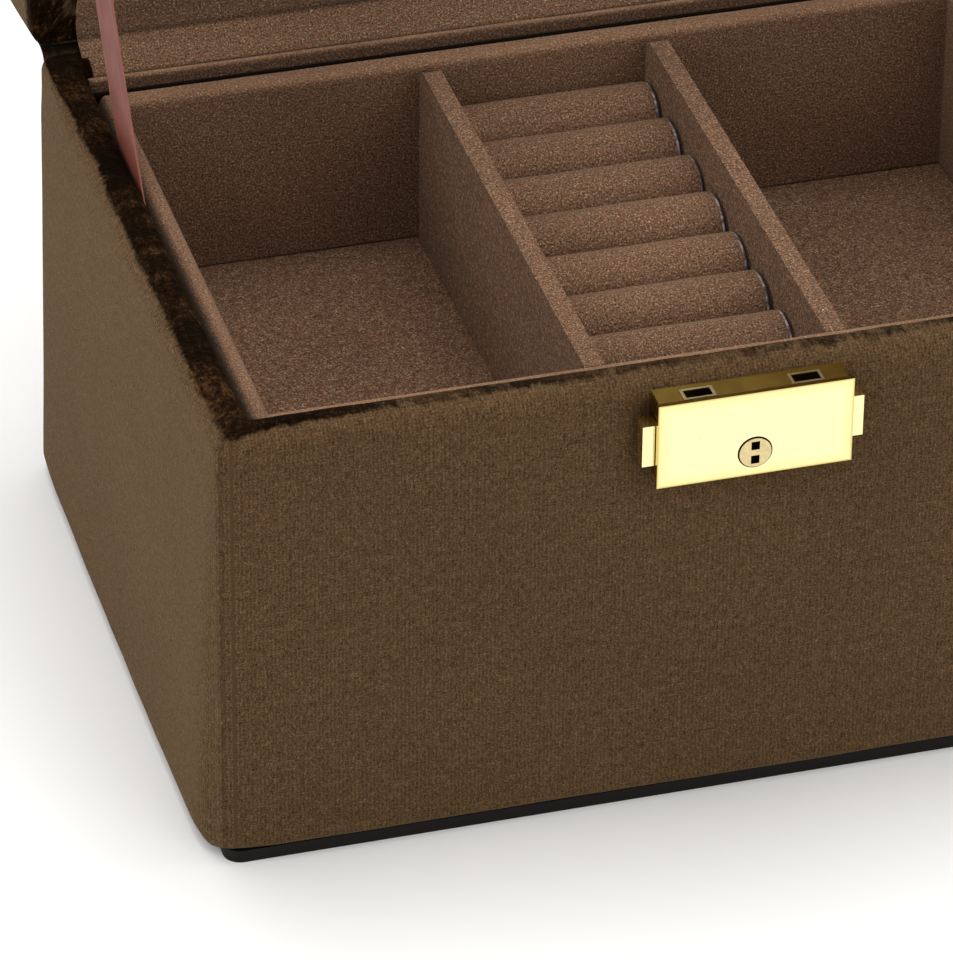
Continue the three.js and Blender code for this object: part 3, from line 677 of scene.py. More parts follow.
def resample(profile, step_of):
    """Adds points along a polyline of (inset, z, tag...) so that no step is longer than step_of."""
    out = [profile[0]]
    for a, b in zip(profile, profile[1:]):
        L = math.dist(a[:2], b[:2])
        n = max(1, math.ceil(L / step_of))
        for i in range(1, n + 1):
            t = i / n
            out.append(tuple(a[k] + (b[k] - a[k]) * t for k in range(len(a))))
    return out


def arc(ci, cz, r, a0, a1, n):
    return [
        (ci + r * math.cos(math.radians(a0 + (a1 - a0) * i / n)), cz + r * math.sin(math.radians(a0 + (a1 - a0) * i / n)))
        for i in range(n + 1)
    ]


def smooth01(t):
    t = max(0.0, min(1.0, t))
    return t * t * (3 - 2 * t)


# ------------------------------------------------------------ velvet covering
RC = 3.6
BACK_MARKS = []
for hx in HINGE_X:
    for e in (-1, 1):
        BACK_MARKS += [hx + e * LEAF_H, hx + e * (LEAF_H + 0.5)]
BACK_MARKS += [-109.0, -107.6, 107.6, 109.0]


def back_weights(x, y):
    """(share of the recessed back rim, share of the hinge notch) at a station."""
    if y < HD - 3:
        return 0.0, 0.0
    rec = smooth01((109.0 - abs(x)) / 1.4)
    notch = 0.0
    for hx in HINGE_X:
        notch = max(notch, smooth01((LEAF_H + 0.5 - abs(x - hx)) / 0.5))
    return rec, notch


def base_profiles():
    """Three profiles with the same number of points: (inset, z, bulge share, pile share)."""
    side = [(0, 6.0 + (109.0 - 6.0) * i / 36) for i in range(37)]
    n_side = len(side)
    start = [(3.0, 3.45), (1.6, 3.5), (0.6, 4.1), (0.12, 5.1)]
    lip = 9.6
    # normal rim: outer rounding, broad crest, inner rounding, tucked-in lip
    rim_a = arc(5.0, 109.9, 5.0, 180, 96, 9)[1:] + [(5.6, 115.0), (6.4, 114.95)] + arc(6.6, 111.9, 3.0, 80, 0, 7)
    rim_a += [(lip, 109.5), (lip, 106.5), (lip, 104.2)]
    # the same rim drawn tight over the back corners
    rim_d = arc(1.9, 113.1, 1.9, 180, 96, 9)[1:] + [(3.8, 115.0), (6.4, 114.95)] + arc(6.6, 111.9, 3.0, 80, 0, 7)
    rim_d += [(lip, 109.5), (lip, 106.5), (lip, 104.2)]
    # recessed rim: a thin outer edge, then the flat ledge for the lining strip
    n = len(rim_a)
    rim_b = arc(1.0, 113.9, 1.0, 180, 20, 8) + [(2.0, 113.4), (2.1, 112.7), (2.5, 112.15)]
    rest = n - len(rim_b) - 3
    rim_b += [(2.5 + (9.3 - 2.5) * (i + 1) / rest, 112.15) for i in range(rest)]
    rim_b += [(lip, 111.6), (lip, 107.5), (lip, 104.2)]
    # hinge notch: the ledge runs right out to the face
    rim_c = arc(0.7, 111.5, 0.7, 180, 90, 6)
    rest = n - len(rim_c) - 3
    rim_c += [(0.7 + (9.3 - 0.7) * (i + 1) / rest, 112.18) for i in range(rest)]
    rim_c += [(lip, 111.6), (lip, 107.5), (lip, 104.2)]
    inner = [(lip - 0.3, 103.9), (8.7, 103.9), (8.45, 104.4), (8.45, 111.3), (8.0, 111.5), (3.4, 111.5), (3.0, 111.1), (3.0, 60.0), (3.0, 5.0), (3.0, 3.6)]
    out = []
    for rim in (rim_a, rim_b, rim_c, rim_d):
        pts = start + side + rim + inner
        out.append(pts)
    tags = []
    for i in range(len(start) + n_side + n + len(inner)):
        if i < len(start):
            tags.append(("start", i))
        elif i < len(start) + n_side:
            tags.append(("side", i - len(start)))
        elif i < len(start) + n_side + n:
            tags.append(("rim", i - len(start) - n_side))
        else:
            tags.append(("inner", i))
    return out, tags


def pad_bulge(st, z, z0, z1, seed, lid=False):
    """How far the wadding under the cloth stands out of the flat wall, in mm."""
    p, n, run, cr = st
    x, y = p
    z01 = max(0.0, min(1.0, (z - z0) / (z1 - z0)))
    side = n[0] * n[0]
    d_front, d_back = y + HD - RC, HD - RC - y
    d_end = HW - RC - abs(x)
    if cr is not None:
        e = 0.12 if y < 0 else 0.70
    elif side > 0.5:
        e = min(0.12 + 0.88 * (1 - math.exp(-d_front / 3.5)), 0.70 + 0.30 * (1 - math.exp(-d_back / 16)))
    elif y < 0:
        e = 0.12 + 0.88 * (1 - math.exp(-d_end / 7))
    else:
        e = 0.70
    if lid:
        a_side, a_front, a_back = 0.9, 0.8, 0.15
    else:
        a_side = 0.85 + 3.0 * (1 - z01) ** 1.5
        a_front = 0.75 + 0.7 * (1 - z01) ** 2
        a_back = 0.2 + 1.0 * (1 - z01)
    a = a_side * side + (a_front if y < 0 else a_back) * (1 - side)
    wave = 0.34 * n3(run * 0.018 + seed, z * 0.022, seed) + 0.18 * n3(run * 0.06, z * 0.05 + seed, 3.1)
    if y > 0 and side < 0.5:
        wave *= 0.2
    out = (a + wave * (0.4 + 0.6 * e)) * e
    # the wadding thins out under the rim
    out *= 0.25 + 0.75 * smooth01((1 - z01) / 0.09)
    # the lock is riveted down hard
    if y < 0 and side < 0.5:
        out *= 1 - 0.9 * smooth01((34 - abs(x - LOCK_X)) / 9) * smooth01((z - 82) / 7)
    return out


def build_base_velvet():
    profs, tags = base_profiles()
    stations, total = perimeter(HW, HD, RC, 2.0, BACK_MARKS)
    P, N = len(tags), len(stations)
    verts = np.zeros((N, P, 3))
    tex = np.zeros((N, P, 3))
    rim = np.zeros((N, P))
    painted_shade = np.zeros((N, P))
    for i, st in enumerate(stations):
        px, py = ring_xy(st, 0, RC)
        rec, notch = back_weights(px, py)
        tight = smooth01((py - 52) / 26)
        run = 0.0
        prev = None
        for j, (tag, k) in enumerate(tags):
            a, b, c, d_ = profs[0][j], profs[1][j], profs[2][j], profs[3][j]
            a = [a[t] + (d_[t] - a[t]) * tight for t in range(2)]
            q = [a[t] + (b[t] - a[t]) * rec for t in range(2)]
            q = [q[t] + (c[t] - q[t]) * notch * rec for t in range(2)]
            ins, z = q
            if prev is not None:
                run += math.dist(prev, q)
            prev = q
            if tag in ("side", "start"):
                hang = st[1][0] ** 2 * (1 - math.exp(-max(0.0, py + HD - 1.0) / 4))
                tuck = (0.0, 0.18, 0.80, 0.95)[k] if tag == "start" else 1.0
                tuck = tuck + (1 - hang) * ((0.55, 0.85, 0.97, 1.0)[k] - tuck) if tag == "start" else 1.0
                ins = ins - tuck * pad_bulge(st, z, 4.0, 110.0, 7.3)
                if tag == "side" or k > 1:
                    z -= hang * 2.9 * math.exp(-(z - 4.0) / 2.6)
            if tag == "rim":
                share = (1 - rec)
                w = 0.28 * n3(st[2] * 0.045, k * 0.16, 9.2) + 0.16 * n3(st[2] * 0.17, k * 0.4, 4.7)
                w *= 1 - 0.7 * tight
                z += w * share * smooth01(k / 5)
                z += 0.85 * share * smooth01((py - 62) / 22) * smooth01(k / 5) * smooth01((9.0 - ins) / 3)
                ins -= 0.2 * w * share
                ins -= (1 - smooth01(k / 7)) * pad_bulge(st, 110.0, 4.0, 110.0, 7.3)
            x, y = ring_xy(st, ins, RC)
            verts[i, j] = (x, y, z)
            tex[i, j] = (st[2] * MM, run * MM, 0)
            if tag == "rim":
                ny = -st[1][1] if st[3] is None else 0.0
                near = math.exp(-max(0.0, HW - RC - abs(px)) / 9)
                front = max(0.0, ny) * (1 - near)
                start = 3.0 + 1.3 * n3(st[2] * 0.05, 0, 2.2) + 0.5 * n3(st[2] * 0.13, 0, 7.2) + 3.2 * front
                d = smooth01((k - start) / (3.6 - 0.8 * front)) * (1.25 - 0.25 * front)
                d *= 1 - front * (0.26 - 0.5 * n3(st[2] * 0.035, 0, 12.7))
                rim[i, j] = max(0.0, d * (1 - 0.2 * rec))
            if tag == "inner":
                rim[i, j] = 1.0
            # painted shade down the middle of each rounded corner's crease
            if tag in ("side", "rim", "start") and st[3] is not None:
                painted_shade[i, j] = max(0.0, 1 - abs(st[3] - 0.5) / 0.14) * (0.30 + 0.2 * n3(z * 0.6, 0, 1.0))
            if tag == "side" and st[3] is None and st[1][1] < 0:
                # painted shadow on the velvet under and round the lock plate
                under = smooth01((27.5 - abs(px - LOCK_X)) / 5) * math.exp(-max(0.0, 91.4 - z) / 4.0)
                painted_shade[i, j] = 0.42 * under * smooth01((z - 70) / 6)
    faces = []
    for i in range(N):
        i2 = (i + 1) % N
        for j in range(P):
            j2 = (j + 1) % P
            faces.append((i * P + j, i2 * P + j, i2 * P + j2, i * P + j2))
    o = mesh_object(
        "base_velvet",
        verts.reshape(-1, 3),
        faces,
        VELVET,
        tex.reshape(-1, 3),
        {"rim": rim.ravel(), "painted_shade": painted_shade.ravel()},
    )
    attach(o, "base")
    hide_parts("base_velvet_cover")
    return o


def build_lid_velvet():
    """The same covering on the lid, built shut and then swung open."""
    lip = 9.6
    top_z = LID_Z1
    # rings from the middle of the underside, round the skin, to the middle of the top
    under = [(40.0, 150.95), (20.0, 150.95), (3.2, 150.95), (3.0, 150.6), (3.0, 119.9), (3.3, 119.5), (8.1, 119.5), (8.45, 119.8), (8.45, 121.9), (8.8, 122.2), (9.3, 122.2)]
    rim_a = [(lip, 121.7), (lip, 120.4), (lip, 119.2)] + arc(6.6, 118.8, 3.0, 0, -80, 7) + [(6.4, 115.85), (5.6, 115.8)] + arc(5.0, 120.8, 5.0, -96, -180, 9)[:-1]
    rim_d = [(lip, 121.7), (lip, 120.4), (lip, 119.2)] + arc(6.6, 118.8, 3.0, 0, -80, 7) + [(6.4, 115.85), (3.6, 115.8)] + arc(1.6, 117.4, 1.6, -96, -180, 9)[:-1]
    n = len(rim_a)
    ledge = 118.75
    rim_b = [(lip, 121.7), (lip, 120.4), (lip, 119.3)]
    edge_b = [(2.5, ledge), (2.1, 118.2), (2.0, 117.5)] + arc(1.0, 116.9, 1.0, 0, -160, 8)
    rest = n - 3 - len(edge_b)
    rim_b += [(9.3 + (2.8 - 9.3) * i / max(rest - 1, 1), ledge) for i in range(rest)] + edge_b
    rim_c = [(lip, 121.7), (lip, 120.4), (lip, 119.3)]
    edge_c = arc(0.7, 119.4, 0.7, -90, -180, 6)
    rest = n - 3 - len(edge_c)
    rim_c += [(9.3 + (1.0 - 9.3) * i / max(rest - 1, 1), ledge) for i in range(rest)] + edge_c
    side = [(0, 121.0 + (147.5 - 121.0) * i / 9) for i in range(10)]
    top = arc(6.0, 147.8, 6.0, 180, 96, 8)[1:]
    crown = [(7.2, 153.9), (9.5, 154.15), (13, 154.5), (18, 154.9), (25, 155.3), (34, 155.7), (45, 156.0), (58, 156.2), (72, 156.3)]
    profs = [under + r + side + top + crown for r in (rim_a, rim_b, rim_c, rim_d)]
    tags = (
        [("under", k) for k in range(len(under))]
        + [("rim", k) for k in range(n)]
        + [("side", k) for k in range(len(side))]
        + [("top", k) for k in range(len(top))]
        + [("crown", k) for k in range(len(crown))]
    )
    stations, total = perimeter(HW, HD, RC, 3.0, BACK_MARKS)
    P, N = len(tags), len(stations)
    verts = np.zeros((N, P, 3))
    tex = np.zeros((N, P, 3))
    rim = np.zeros((N, P))
    painted_shade = np.zeros((N, P))
    for i, st in enumerate(stations):
        px, py = ring_xy(st, 0, RC)
        rec, notch = back_weights(px, py)
        run, prev = 0.0, None
        tight = smooth01((py - 52) / 26)
        # the dark brushing runs over the edge only at the hinge end of each side
        end = smooth01((py - 40) / 30) * smooth01((abs(px) - 112) / 6)
        for j, (tag, k) in enumerate(tags):
            a, b, c, d_ = profs[0][j], profs[1][j], profs[2][j], profs[3][j]
            a = [a[t] + (d_[t] - a[t]) * tight for t in range(2)]
            q = [a[t] + (b[t] - a[t]) * rec for t in range(2)]
            q = [q[t] + (c[t] - q[t]) * notch * rec for t in range(2)]
            ins, z = q
            if prev is not None:
                run += math.dist(prev, q)
            prev = q
            if tag in ("side", "top"):
                ins = ins - pad_bulge(st, z, 100.0, 190.0, 3.9, True) * (1 if tag == "side" else 0.7)
            if tag == "crown":
                z += 0.35 * n3(px * 0.02 * (1 - ins / 90), py * 0.02 * (1 - ins / 90), 5.5)
            if tag == "rim":
                kk = n - k
                w = 0.28 * n3(st[2] * 0.045, kk * 0.16, 19.2) + 0.16 * n3(st[2] * 0.17, kk * 0.4, 14.7)
                z -= w * (1 - rec) * (1 - 0.7 * tight) * smooth01(kk / 5) * smooth01(k / 4)
                # the base's rim stands higher at the back corners, so this one keeps clear of it
                z += 0.45 * (1 - rec) * smooth01((py - 62) / 22) * smooth01(kk / 5) * smooth01((9.6 - ins) / 3)
                ins -= (1 - smooth01(kk / 7)) * pad_bulge(st, 121.0, 100.0, 190.0, 3.9, True)
            x, y = ring_xy(st, ins, RC)
            verts[i, j] = (x, y, z)
            tex[i, j] = (st[2] * MM + 2.0, run * MM, 0)
            if tag == "rim":
                kk = n - k
                start = 3.2 + 1.2 * n3(st[2] * 0.05, 0, 12.2) - 5.5 * end
                # dark round the outer edge, browner across the flat of the rim
                d = smooth01((kk - start) / 3.0)
                rim[i, j] = d * (1 - 0.45 * smooth01((kk - 10) / 4)) * (1 - 0.2 * rec)
            if tag == "side":
                rim[i, j] = end * (1 - smooth01((z - 121 - 2.0 * n3(st[2] * 0.1, 0, 15.5)) / 5.0))
            # painted shade down the middle of each rounded corner's crease
            if tag in ("side", "top", "rim") and st[3] is not None:
                painted_shade[i, j] = max(0.0, 1 - abs(st[3] - 0.5) / 0.14) * 0.35
            if tag == "crown":
                tex[i, j] = (x * MM + 4.0, y * MM, 0)
    flat = verts.reshape(-1, 3)
    faces = []
    for i in range(N):
        i2 = (i + 1) % N
        for j in range(P - 1):
            faces.append((i * P + j, i2 * P + j, i2 * P + j + 1, i * P + j + 1))
    verts_all = [*flat.tolist()]
    tex_all = [*tex.reshape(-1, 3).tolist()]
    rim_all = [*rim.ravel().tolist()]
    painted_shade_all = [*painted_shade.ravel().tolist()]

    def cap(j, z_mid, flip):
        """Fills the ring j with rows of quads across the short side."""
        ring = [i * P + j for i in range(N)]
        x0 = min(verts[:, j, 0])
        x1 = max(verts[:, j, 0])
        c1 = len(verts_all)
        left = (x0 + (verts[:, j, 1].max() - verts[:, j, 1].min()) / 2, 0.0)
        spine_n = 24
        half = (verts[:, j, 1].max() - verts[:, j, 1].min()) / 2
        sx0, sx1 = x0 + half, x1 - half
        for k in range(spine_n + 1):
            x = sx0 + (sx1 - sx0) * k / spine_n
            verts_all.append([x, 0.0, z_mid])
            tex_all.append([x * MM + 4.0, 0.0, 0.0])
            rim_all.append(0.0)
            painted_shade_all.append(0.0)

        def spine_of(v):
            x = verts_all[v][0]
            return c1 + int(round(min(max((x - sx0) / (sx1 - sx0), 0), 1) * spine_n))

        for a in range(N):
            v0, v1 = ring[a], ring[(a + 1) % N]
            s0, s1 = spine_of(v0), spine_of(v1)
            tri = [(v0, v1, s1)] if s0 == s1 else [(v0, v1, s1), (v0, s1, s0)]
            if s0 != s1 and abs(s0 - s1) > 1:
                # a long step along the spine: fan it so no spine edge is skipped
                step = 1 if s1 > s0 else -1
                tri = [(v0, v1, s1)]
                s = s1
                while s != s0:
                    tri.append((v0, s, s - step))
                    s -= step
            for t in tri:
                faces.append(t[::-1] if flip else t)

    cap(0, 150.95, False)
    cap(P - 1, 156.4, True)
    v = opened(np.array(verts_all))
    # ring order runs counter-clockwise and the profile runs inside to outside
    o = mesh_object("lid_velvet", v, faces, VELVET, tex_all, {"rim": rim_all, "painted_shade": painted_shade_all})
    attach(o, "lid")
    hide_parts("lid_velvet_cover")
    return o


def fix_normals(o):
    """Makes every face of a closed piece point out."""
    import bmesh

    bm = bmesh.new()
    bm.from_mesh(o.data)
    bmesh.ops.recalc_face_normals(bm, faces=bm.faces)
    bm.to_mesh(o.data)
    bm.free()
    o.data.update()


# ------------------------------------------------------------------ ring rolls
def build_roll(i):
    rnd = random.Random(40 + i)
    lo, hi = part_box(f"ring_roll_{i}")
    lo, hi = lo / MM, hi / MM
    cy, cz = (lo.y + hi.y) / 2, (lo.z + hi.z) / 2
    x0, x1 = lo.x + 0.15, hi.x - 0.35 - 0.5 * rnd.random()
    ry, rz = 8.70, 8.75
    cy += rnd.uniform(-0.06, 0.06)
    cz += 0.8 - 2.2 * (i - 1) / 6 + rnd.uniform(-0.3, 0.3)
    NA, seed = 44, 10.0 * i
    xs = [x0 + 0.55] + [x0 + 0.55 + (x1 - x0 - 1.9) * k / 26 for k in range(1, 27)]
    # rings from the left end cap to the right end cap: (x, radius share, material)
    rings = [(x0 + 0.5, 0.0, 1), (x0 + 0.5, 0.55, 1), (x0 + 0.45, 0.90, 1), (x0 + 0.12, 0.945, 1), (x0, 0.965, 1), (x0 + 0.12, 0.992, 0)]
    rings += [(x, 1.0, 0) for x in xs]
    rings += [(x1 - 0.75, 0.995, 1), (x1 - 0.22, 0.975, 1), (x1, 0.93, 1), (x1 - 0.1, 0.90, 1), (x1 - 0.45, 0.86, 1), (x1 - 0.5, 0.5, 1), (x1 - 0.5, 0.0, 1)]
    verts, tex, faces, mats = [], [], [], []
    idx = []
    for x, s, mt in rings:
        if s == 0.0:
            idx.append([len(verts)])
            verts.append((x, cy, cz))
            tex.append((x * MM, 0, i * 0.1))
            continue
        row = []
        for a in range(NA):
            t = 2 * math.pi * a / NA
            c, sn = math.cos(t), math.sin(t)
            # a slightly square section where the rolls press on each other
            e = 0.93
            yy = math.copysign(abs(c) ** e, c) * ry
            zz = math.copysign(abs(sn) ** e, sn) * rz
            w = 0.16 * n3(x * 0.07, t * 1.3, seed) + 0.05 * n3(x * 0.4, t * 4, seed + 5)
            k = s * (1 + w / 8.0)
            y = cy + max(min(yy * k, 8.66), -8.66)
            row.append(len(verts))
            verts.append((x, y, cz + zz * k))
            tex.append((x * MM, t * 8 * MM, i * 0.1))
        idx.append(row)
    for k in range(len(rings) - 1):
        a, b = idx[k], idx[k + 1]
        mt = 1 if rings[k][2] and rings[k + 1][2] else 0
        for q in range(NA):
            q2 = (q + 1) % NA
            if len(a) == 1:
                faces.append((a[0], b[q2], b[q]))
            elif len(b) == 1:
                faces.append((a[q], a[q2], b[0]))
            else:
                faces.append((a[q], a[q2], b[q2], b[q]))
            mats.append(mt)
    o = mesh_object(f"roll_{i}", verts, faces, [FLOCK, FOAM], tex)
    o.data.polygons.foreach_set("material_index", mats)
    fix_normals(o)
    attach(o, "tray")
    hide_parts(f"ring_roll_{i}")
    return o


# ------------------------------------------------------------------ tray walls
def build_tray_walls():
    """The four walls' flocked cloth, drawn in one piece over their rounded tops."""
    walls = [f"tray_wall_{k}" for k in ("front", "back", "left", "right")]
    los, his = zip(*(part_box(w) for w in walls))
    lo = [min(v[k] for v in los) / MM for k in range(3)]
    hi = [max(v[k] for v in his) / MM for k in range(3)]
    hw, hd, cy = (hi[0] - lo[0]) / 2, (hi[1] - lo[1]) / 2, (hi[1] + lo[1]) / 2
    rc, z0, z1, T = 2.4, lo[2], hi[2], 5.3

    def section(ro, ri):
        out = [(0.0, z0), (0.0, z0 + 0.4), (0.0, (z0 + z1) / 2), (0.0, z1 - 6.0), (0.0, z1 - 2.9)]
        out += arc(ro, z1 - ro, ro, 180, 90, 8) + [((ro + T - ri) / 2, z1)]
        out += arc(T - ri, z1 - ri, ri, 90, 0, 6) + [(T, z1 - 2.6)]
        out += [(T, z1 - 2.6 - (z1 - z0 - 3.0) * (i + 1) / 14) for i in range(14)] + [(T, z0)]
        return out

    sec = section(2.6, 1.7)
    stations, total = perimeter(hw, hd, rc, 2.4)
    N, P = len(stations), len(sec)
    verts, tex = np.zeros((N, P, 3)), np.zeros((N, P, 3))
    shade, lit = np.zeros((N, P)), np.zeros((N, P))
    for i, st in enumerate(stations):
        run, prev = 0.0, None
        # how far the wall runs along the case's sides, 0 at the front and back
        side = st[1][0] ** 2
        front = max(0.0, -st[1][1]) * (1 - side)
        back = max(0.0, st[1][1]) ** 2
        for j, (ins, z) in enumerate(section(2.6 - 1.9 * back, 1.7 - 0.6 * front)):
            if prev is not None:
                run += math.dist(prev, (ins, z))
            prev = (ins, z)
            crest = smooth01((z - z1 + 3) / 3)
            body = smooth01((z - z0) / 6) * smooth01((z1 - z) / 6)
            w = 0.16 * n3(st[2] * 0.05, z * 0.06, 31.0) * body * (1 if ins > 2 else 0.3)
            w2 = 0.14 * n3(st[2] * 0.07, ins * 0.2, 33.0) * crest
            x, y = ring_xy(st, min(max(ins - w, 0.0), T), rc, hw, hd)
            verts[i, j] = (x, y + cy, z + min(w2, 0.0))
            tex[i, j] = (st[2] * MM + 6.0, run * MM, 0)
            # painted shade over the walls' rounded outer edges, fading lower down, and a painted highlight along their
            # tops
            wide = 2.7 * side + 0.9 * front + 0.2 * back
            fall = smooth01(1 - (ins + 0.25 * n3(st[2] * 0.2, 0, 35.0)) / (wide + 0.001))
            shade[i, j] = 0.9 * fall * (0.2 + 0.8 * smooth01((z - z1 + 7) / 5)) if ins < 4 else 0.0
            glow = 0.28 + 0.45 * front + 0.1 * back
            lit[i, j] = glow * crest * (1 - fall) * (0.8 + 0.5 * n3(st[2] * 0.06, ins * 0.3, 37.0))
    faces = []
    for i in range(N):
        i2 = (i + 1) % N
        for j in range(P):
            j2 = (j + 1) % P
            faces.append((i * P + j, i2 * P + j, i2 * P + j2, i * P + j2))
    o = mesh_object(
        "tray_wall_cloth",
        verts.reshape(-1, 3),
        faces,
        FLOCK,
        tex.reshape(-1, 3),
        {"shade": shade.ravel(), "lit": lit.ravel()},
    )
    fix_normals(o)
    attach(o, "tray")
    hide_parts(*walls)
    return o


# ----------------------------------------------------------------- thin sheets
def sheet_mesh(name, grid, thickness, material, tex, attrs=None):
    """A closed thin sheet round a (rows, columns, 3) grid of points in mm."""
    g = np.asarray(grid, float)
    R, C = g.shape[:2]
    du = np.gradient(g, axis=0)
    dv = np.gradient(g, axis=1)
    nrm = np.cross(du, dv)
    nrm /= np.linalg.norm(nrm, axis=2, keepdims=True) + 1e-12
    a = g + nrm * thickness / 2
    b = g - nrm * thickness / 2
    verts = np.concatenate([a.reshape(-1, 3), b.reshape(-1, 3)])
    t = np.concatenate([np.asarray(tex).reshape(-1, 3)] * 2)
    at = {k: np.concatenate([np.asarray(w).ravel()] * 2) for k, w in (attrs or {}).items()}
    faces = []
    off = R * C
    for r in range(R - 1):
        for c in range(C - 1):
            p = r * C + c
            faces.append((p, p + C, p + C + 1, p + 1))
            faces.append((off + p, off + p + 1, off + p + C + 1, off + p + C))
    border = (
        [(0, c) for c in range(C - 1)]
        + [(r, C - 1) for r in range(R - 1)]
        + [(R - 1, c) for c in range(C - 1, 0, -1)]
        + [(r, 0) for r in range(R - 1, 0, -1)]
    )
    for k in range(len(border)):
        r, c = border[k]
        r2_, c2_ = border[(k + 1) % len(border)]
        p, q = r * C + c, r2_ * C + c2_
        faces.append((p, q, off + q, off + p))
    o = mesh_object(name, verts, faces, material, t, at)
    fix_normals(o)
    return o


def polyline_length(pts):
    return sum(math.dist(a, b) for a, b in zip(pts, pts[1:]))


def spline(points, n):
    """Catmull-Rom through points, evenly spaced in parameter per span by length."""
    pts = [Vector(p) for p in points]
    pts = [pts[0] * 2 - pts[1], *pts, pts[-1] * 2 - pts[-2]]
    out = []
    for i in range(1, len(pts) - 2):
        L = (pts[i + 1] - pts[i]).length
        m = max(2, round(L / n))
        for k in range(m):
            t = k / m
            p0, p1, p2, p3 = pts[i - 1], pts[i], pts[i + 1], pts[i + 2]
            out.append(
                0.5
                * (
                    2 * p1
                    + (p2 - p0) * t
                    + (2 * p0 - 5 * p1 + 4 * p2 - p3) * t * t
                    + (3 * p1 - p0 - 3 * p2 + p3) * t**3
                )
            )
    out.append(pts[-2])
    return out


def build_hinge_strip():
    def op(y, z):
        q = opened([[0, y, z]])[0]
        return (q[1], q[2])

    path = [
        (75.9, 99.2),
        (75.9, 107.5),
        (75.6, 109.6),
        (75.55, 112.3),
        (75.8, 113.15),
        (76.5, 113.45),
        (77.2, 112.95),
        (77.6, 112.45),
        (78.3, 112.75),
        (80.6, 114.05),
        (84.2, 116.05),
        (86.75, 117.6),
        (88.1, 119.3),
        (89.1, 122.0),
        (89.8, 124.7),
        (91.0, 126.85),
        (94.0, 127.5),
        op(75.7, 126.8),
    ]
    pts = spline([(0, y, z) for y, z in path], 0.42)
    run = [0.0]
    for a, b in zip(pts, pts[1:]):
        run.append(run[-1] + (b - a).length)
    C = 100
    shade = np.zeros((len(pts), C))
    lit = np.zeros((len(pts), C))
    grid = np.zeros((len(pts), C, 3))
    tex = np.zeros((len(pts), C, 3))
    for r, p in enumerate(pts):
        t = pts[min(r + 1, len(pts) - 1)] - pts[max(r - 1, 0)]
        t.normalize()
        nrm = Vector((0, -t.z, t.y))
        half = 110.3 - 1.0 * smooth01((p.y - 88.5) / 3) - 0.7 * smooth01((108 - p.z) / 5)
        for c in range(C):
            x = half * (2 * c / (C - 1) - 1)
            # stands off a little between the glue lines and ripples along the hem
            sag = smooth01((p.y - 78) / 3) * smooth01((88 - p.y) / 3)
            off = 0.3 * (0.8 + n3(x * 0.022, run[r] * 0.05, 6.1)) * sag
            hem = math.exp(-(((p.y - 76.6) / 0.9) ** 2)) if p.z > 111 else 0.0
            off += 0.22 * n3(x * 0.06, 0.0, 16.1) * hem
            if r in (0, 1) or r > len(pts) - 3:
                off = 0
            grid[r, c] = (x, p.y + nrm.y * off, p.z + nrm.z * off)
            tex[r, c] = (x * MM, run[r] * MM, 0.3)
            # painted shade: the gap at the strip's foot, the groove behind the hem, the lid's part, the hinge crack and
            # the hem's front face; painted highlight along the hem's crest
            low = smooth01((110.6 - p.z) / 1.0)
            groove = math.exp(-(((p.y - 77.95) / 0.5) ** 2)) if p.z > 112 else 0.0
            lid_side = smooth01((p.y - 86.6) / 1.2)
            crack = math.exp(-(((p.y - 87.6) / 0.5) ** 2))
            face = smooth01((76.0 - p.y) / 0.4) * smooth01((p.z - 100) / 6)
            # the whole strip darkened a little, unevenly
            overall_darkening = 0.10 + 0.08 * n3(x * 0.03, run[r] * 0.2, 3.3)
            shade[r, c] = min(1.0, 0.95 * low + 0.85 * groove + 0.22 * lid_side + 0.35 * crack + 0.34 * face + overall_darkening)
            lit[r, c] = math.exp(-(((p.y - 76.15) / 0.42) ** 2)) * (0.8 + 0.5 * n3(x * 0.08, 0, 4.4)) if p.z > 112.8 else 0.0
    lit = np.clip(lit, 0, 1)
    o = sheet_mesh("hinge_strip", grid, 0.5, FLOCK, tex, {"shade": shade, "lit": lit})
    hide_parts("hinge_lining_strip")
    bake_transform(o)
    return o


def build_fold(side):
    """Velvet glued over one end of the hinge line, outside."""
    sx = -1 if side == "left" else 1
    path = [(87.55, 108.6), (87.55, 111.0), (87.6, 112.9), (88.5, 114.55), (91.0, 115.5), (93.5, 115.4), (96.4, 115.0)]
    pts = spline([(0, y, z) for y, z in path], 0.7)
    run = [0.0]
    for a, b in zip(pts, pts[1:]):
        run.append(run[-1] + (b - a).length)
    C = 9
    grid = np.zeros((len(pts), C, 3))
    tex = np.zeros((len(pts), C, 3))
    dark = np.zeros((len(pts), C))
    for r, p in enumerate(pts):
        for c in range(C):
            x = sx * (108.3 + 10.3 * c / (C - 1))
            grid[r, c] = (x, p.y, p.z)
            tex[r, c] = (x * MM, run[r] * MM, 0.9)
            # painted shade: darker towards the fold's middle, which lies in the hinge gap; the same mask darkens its
            # pile
            dark[r, c] = math.exp(-(((run[r] / run[-1] - 0.58) / 0.22) ** 2))
    o = sheet_mesh(f"hinge_fold_cloth_{side}", grid, 0.45, VELVET, tex, {"rim": dark * 0.9, "painted_shade": dark})
    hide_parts(f"hinge_fold_{side}")
    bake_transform(o)
    return o


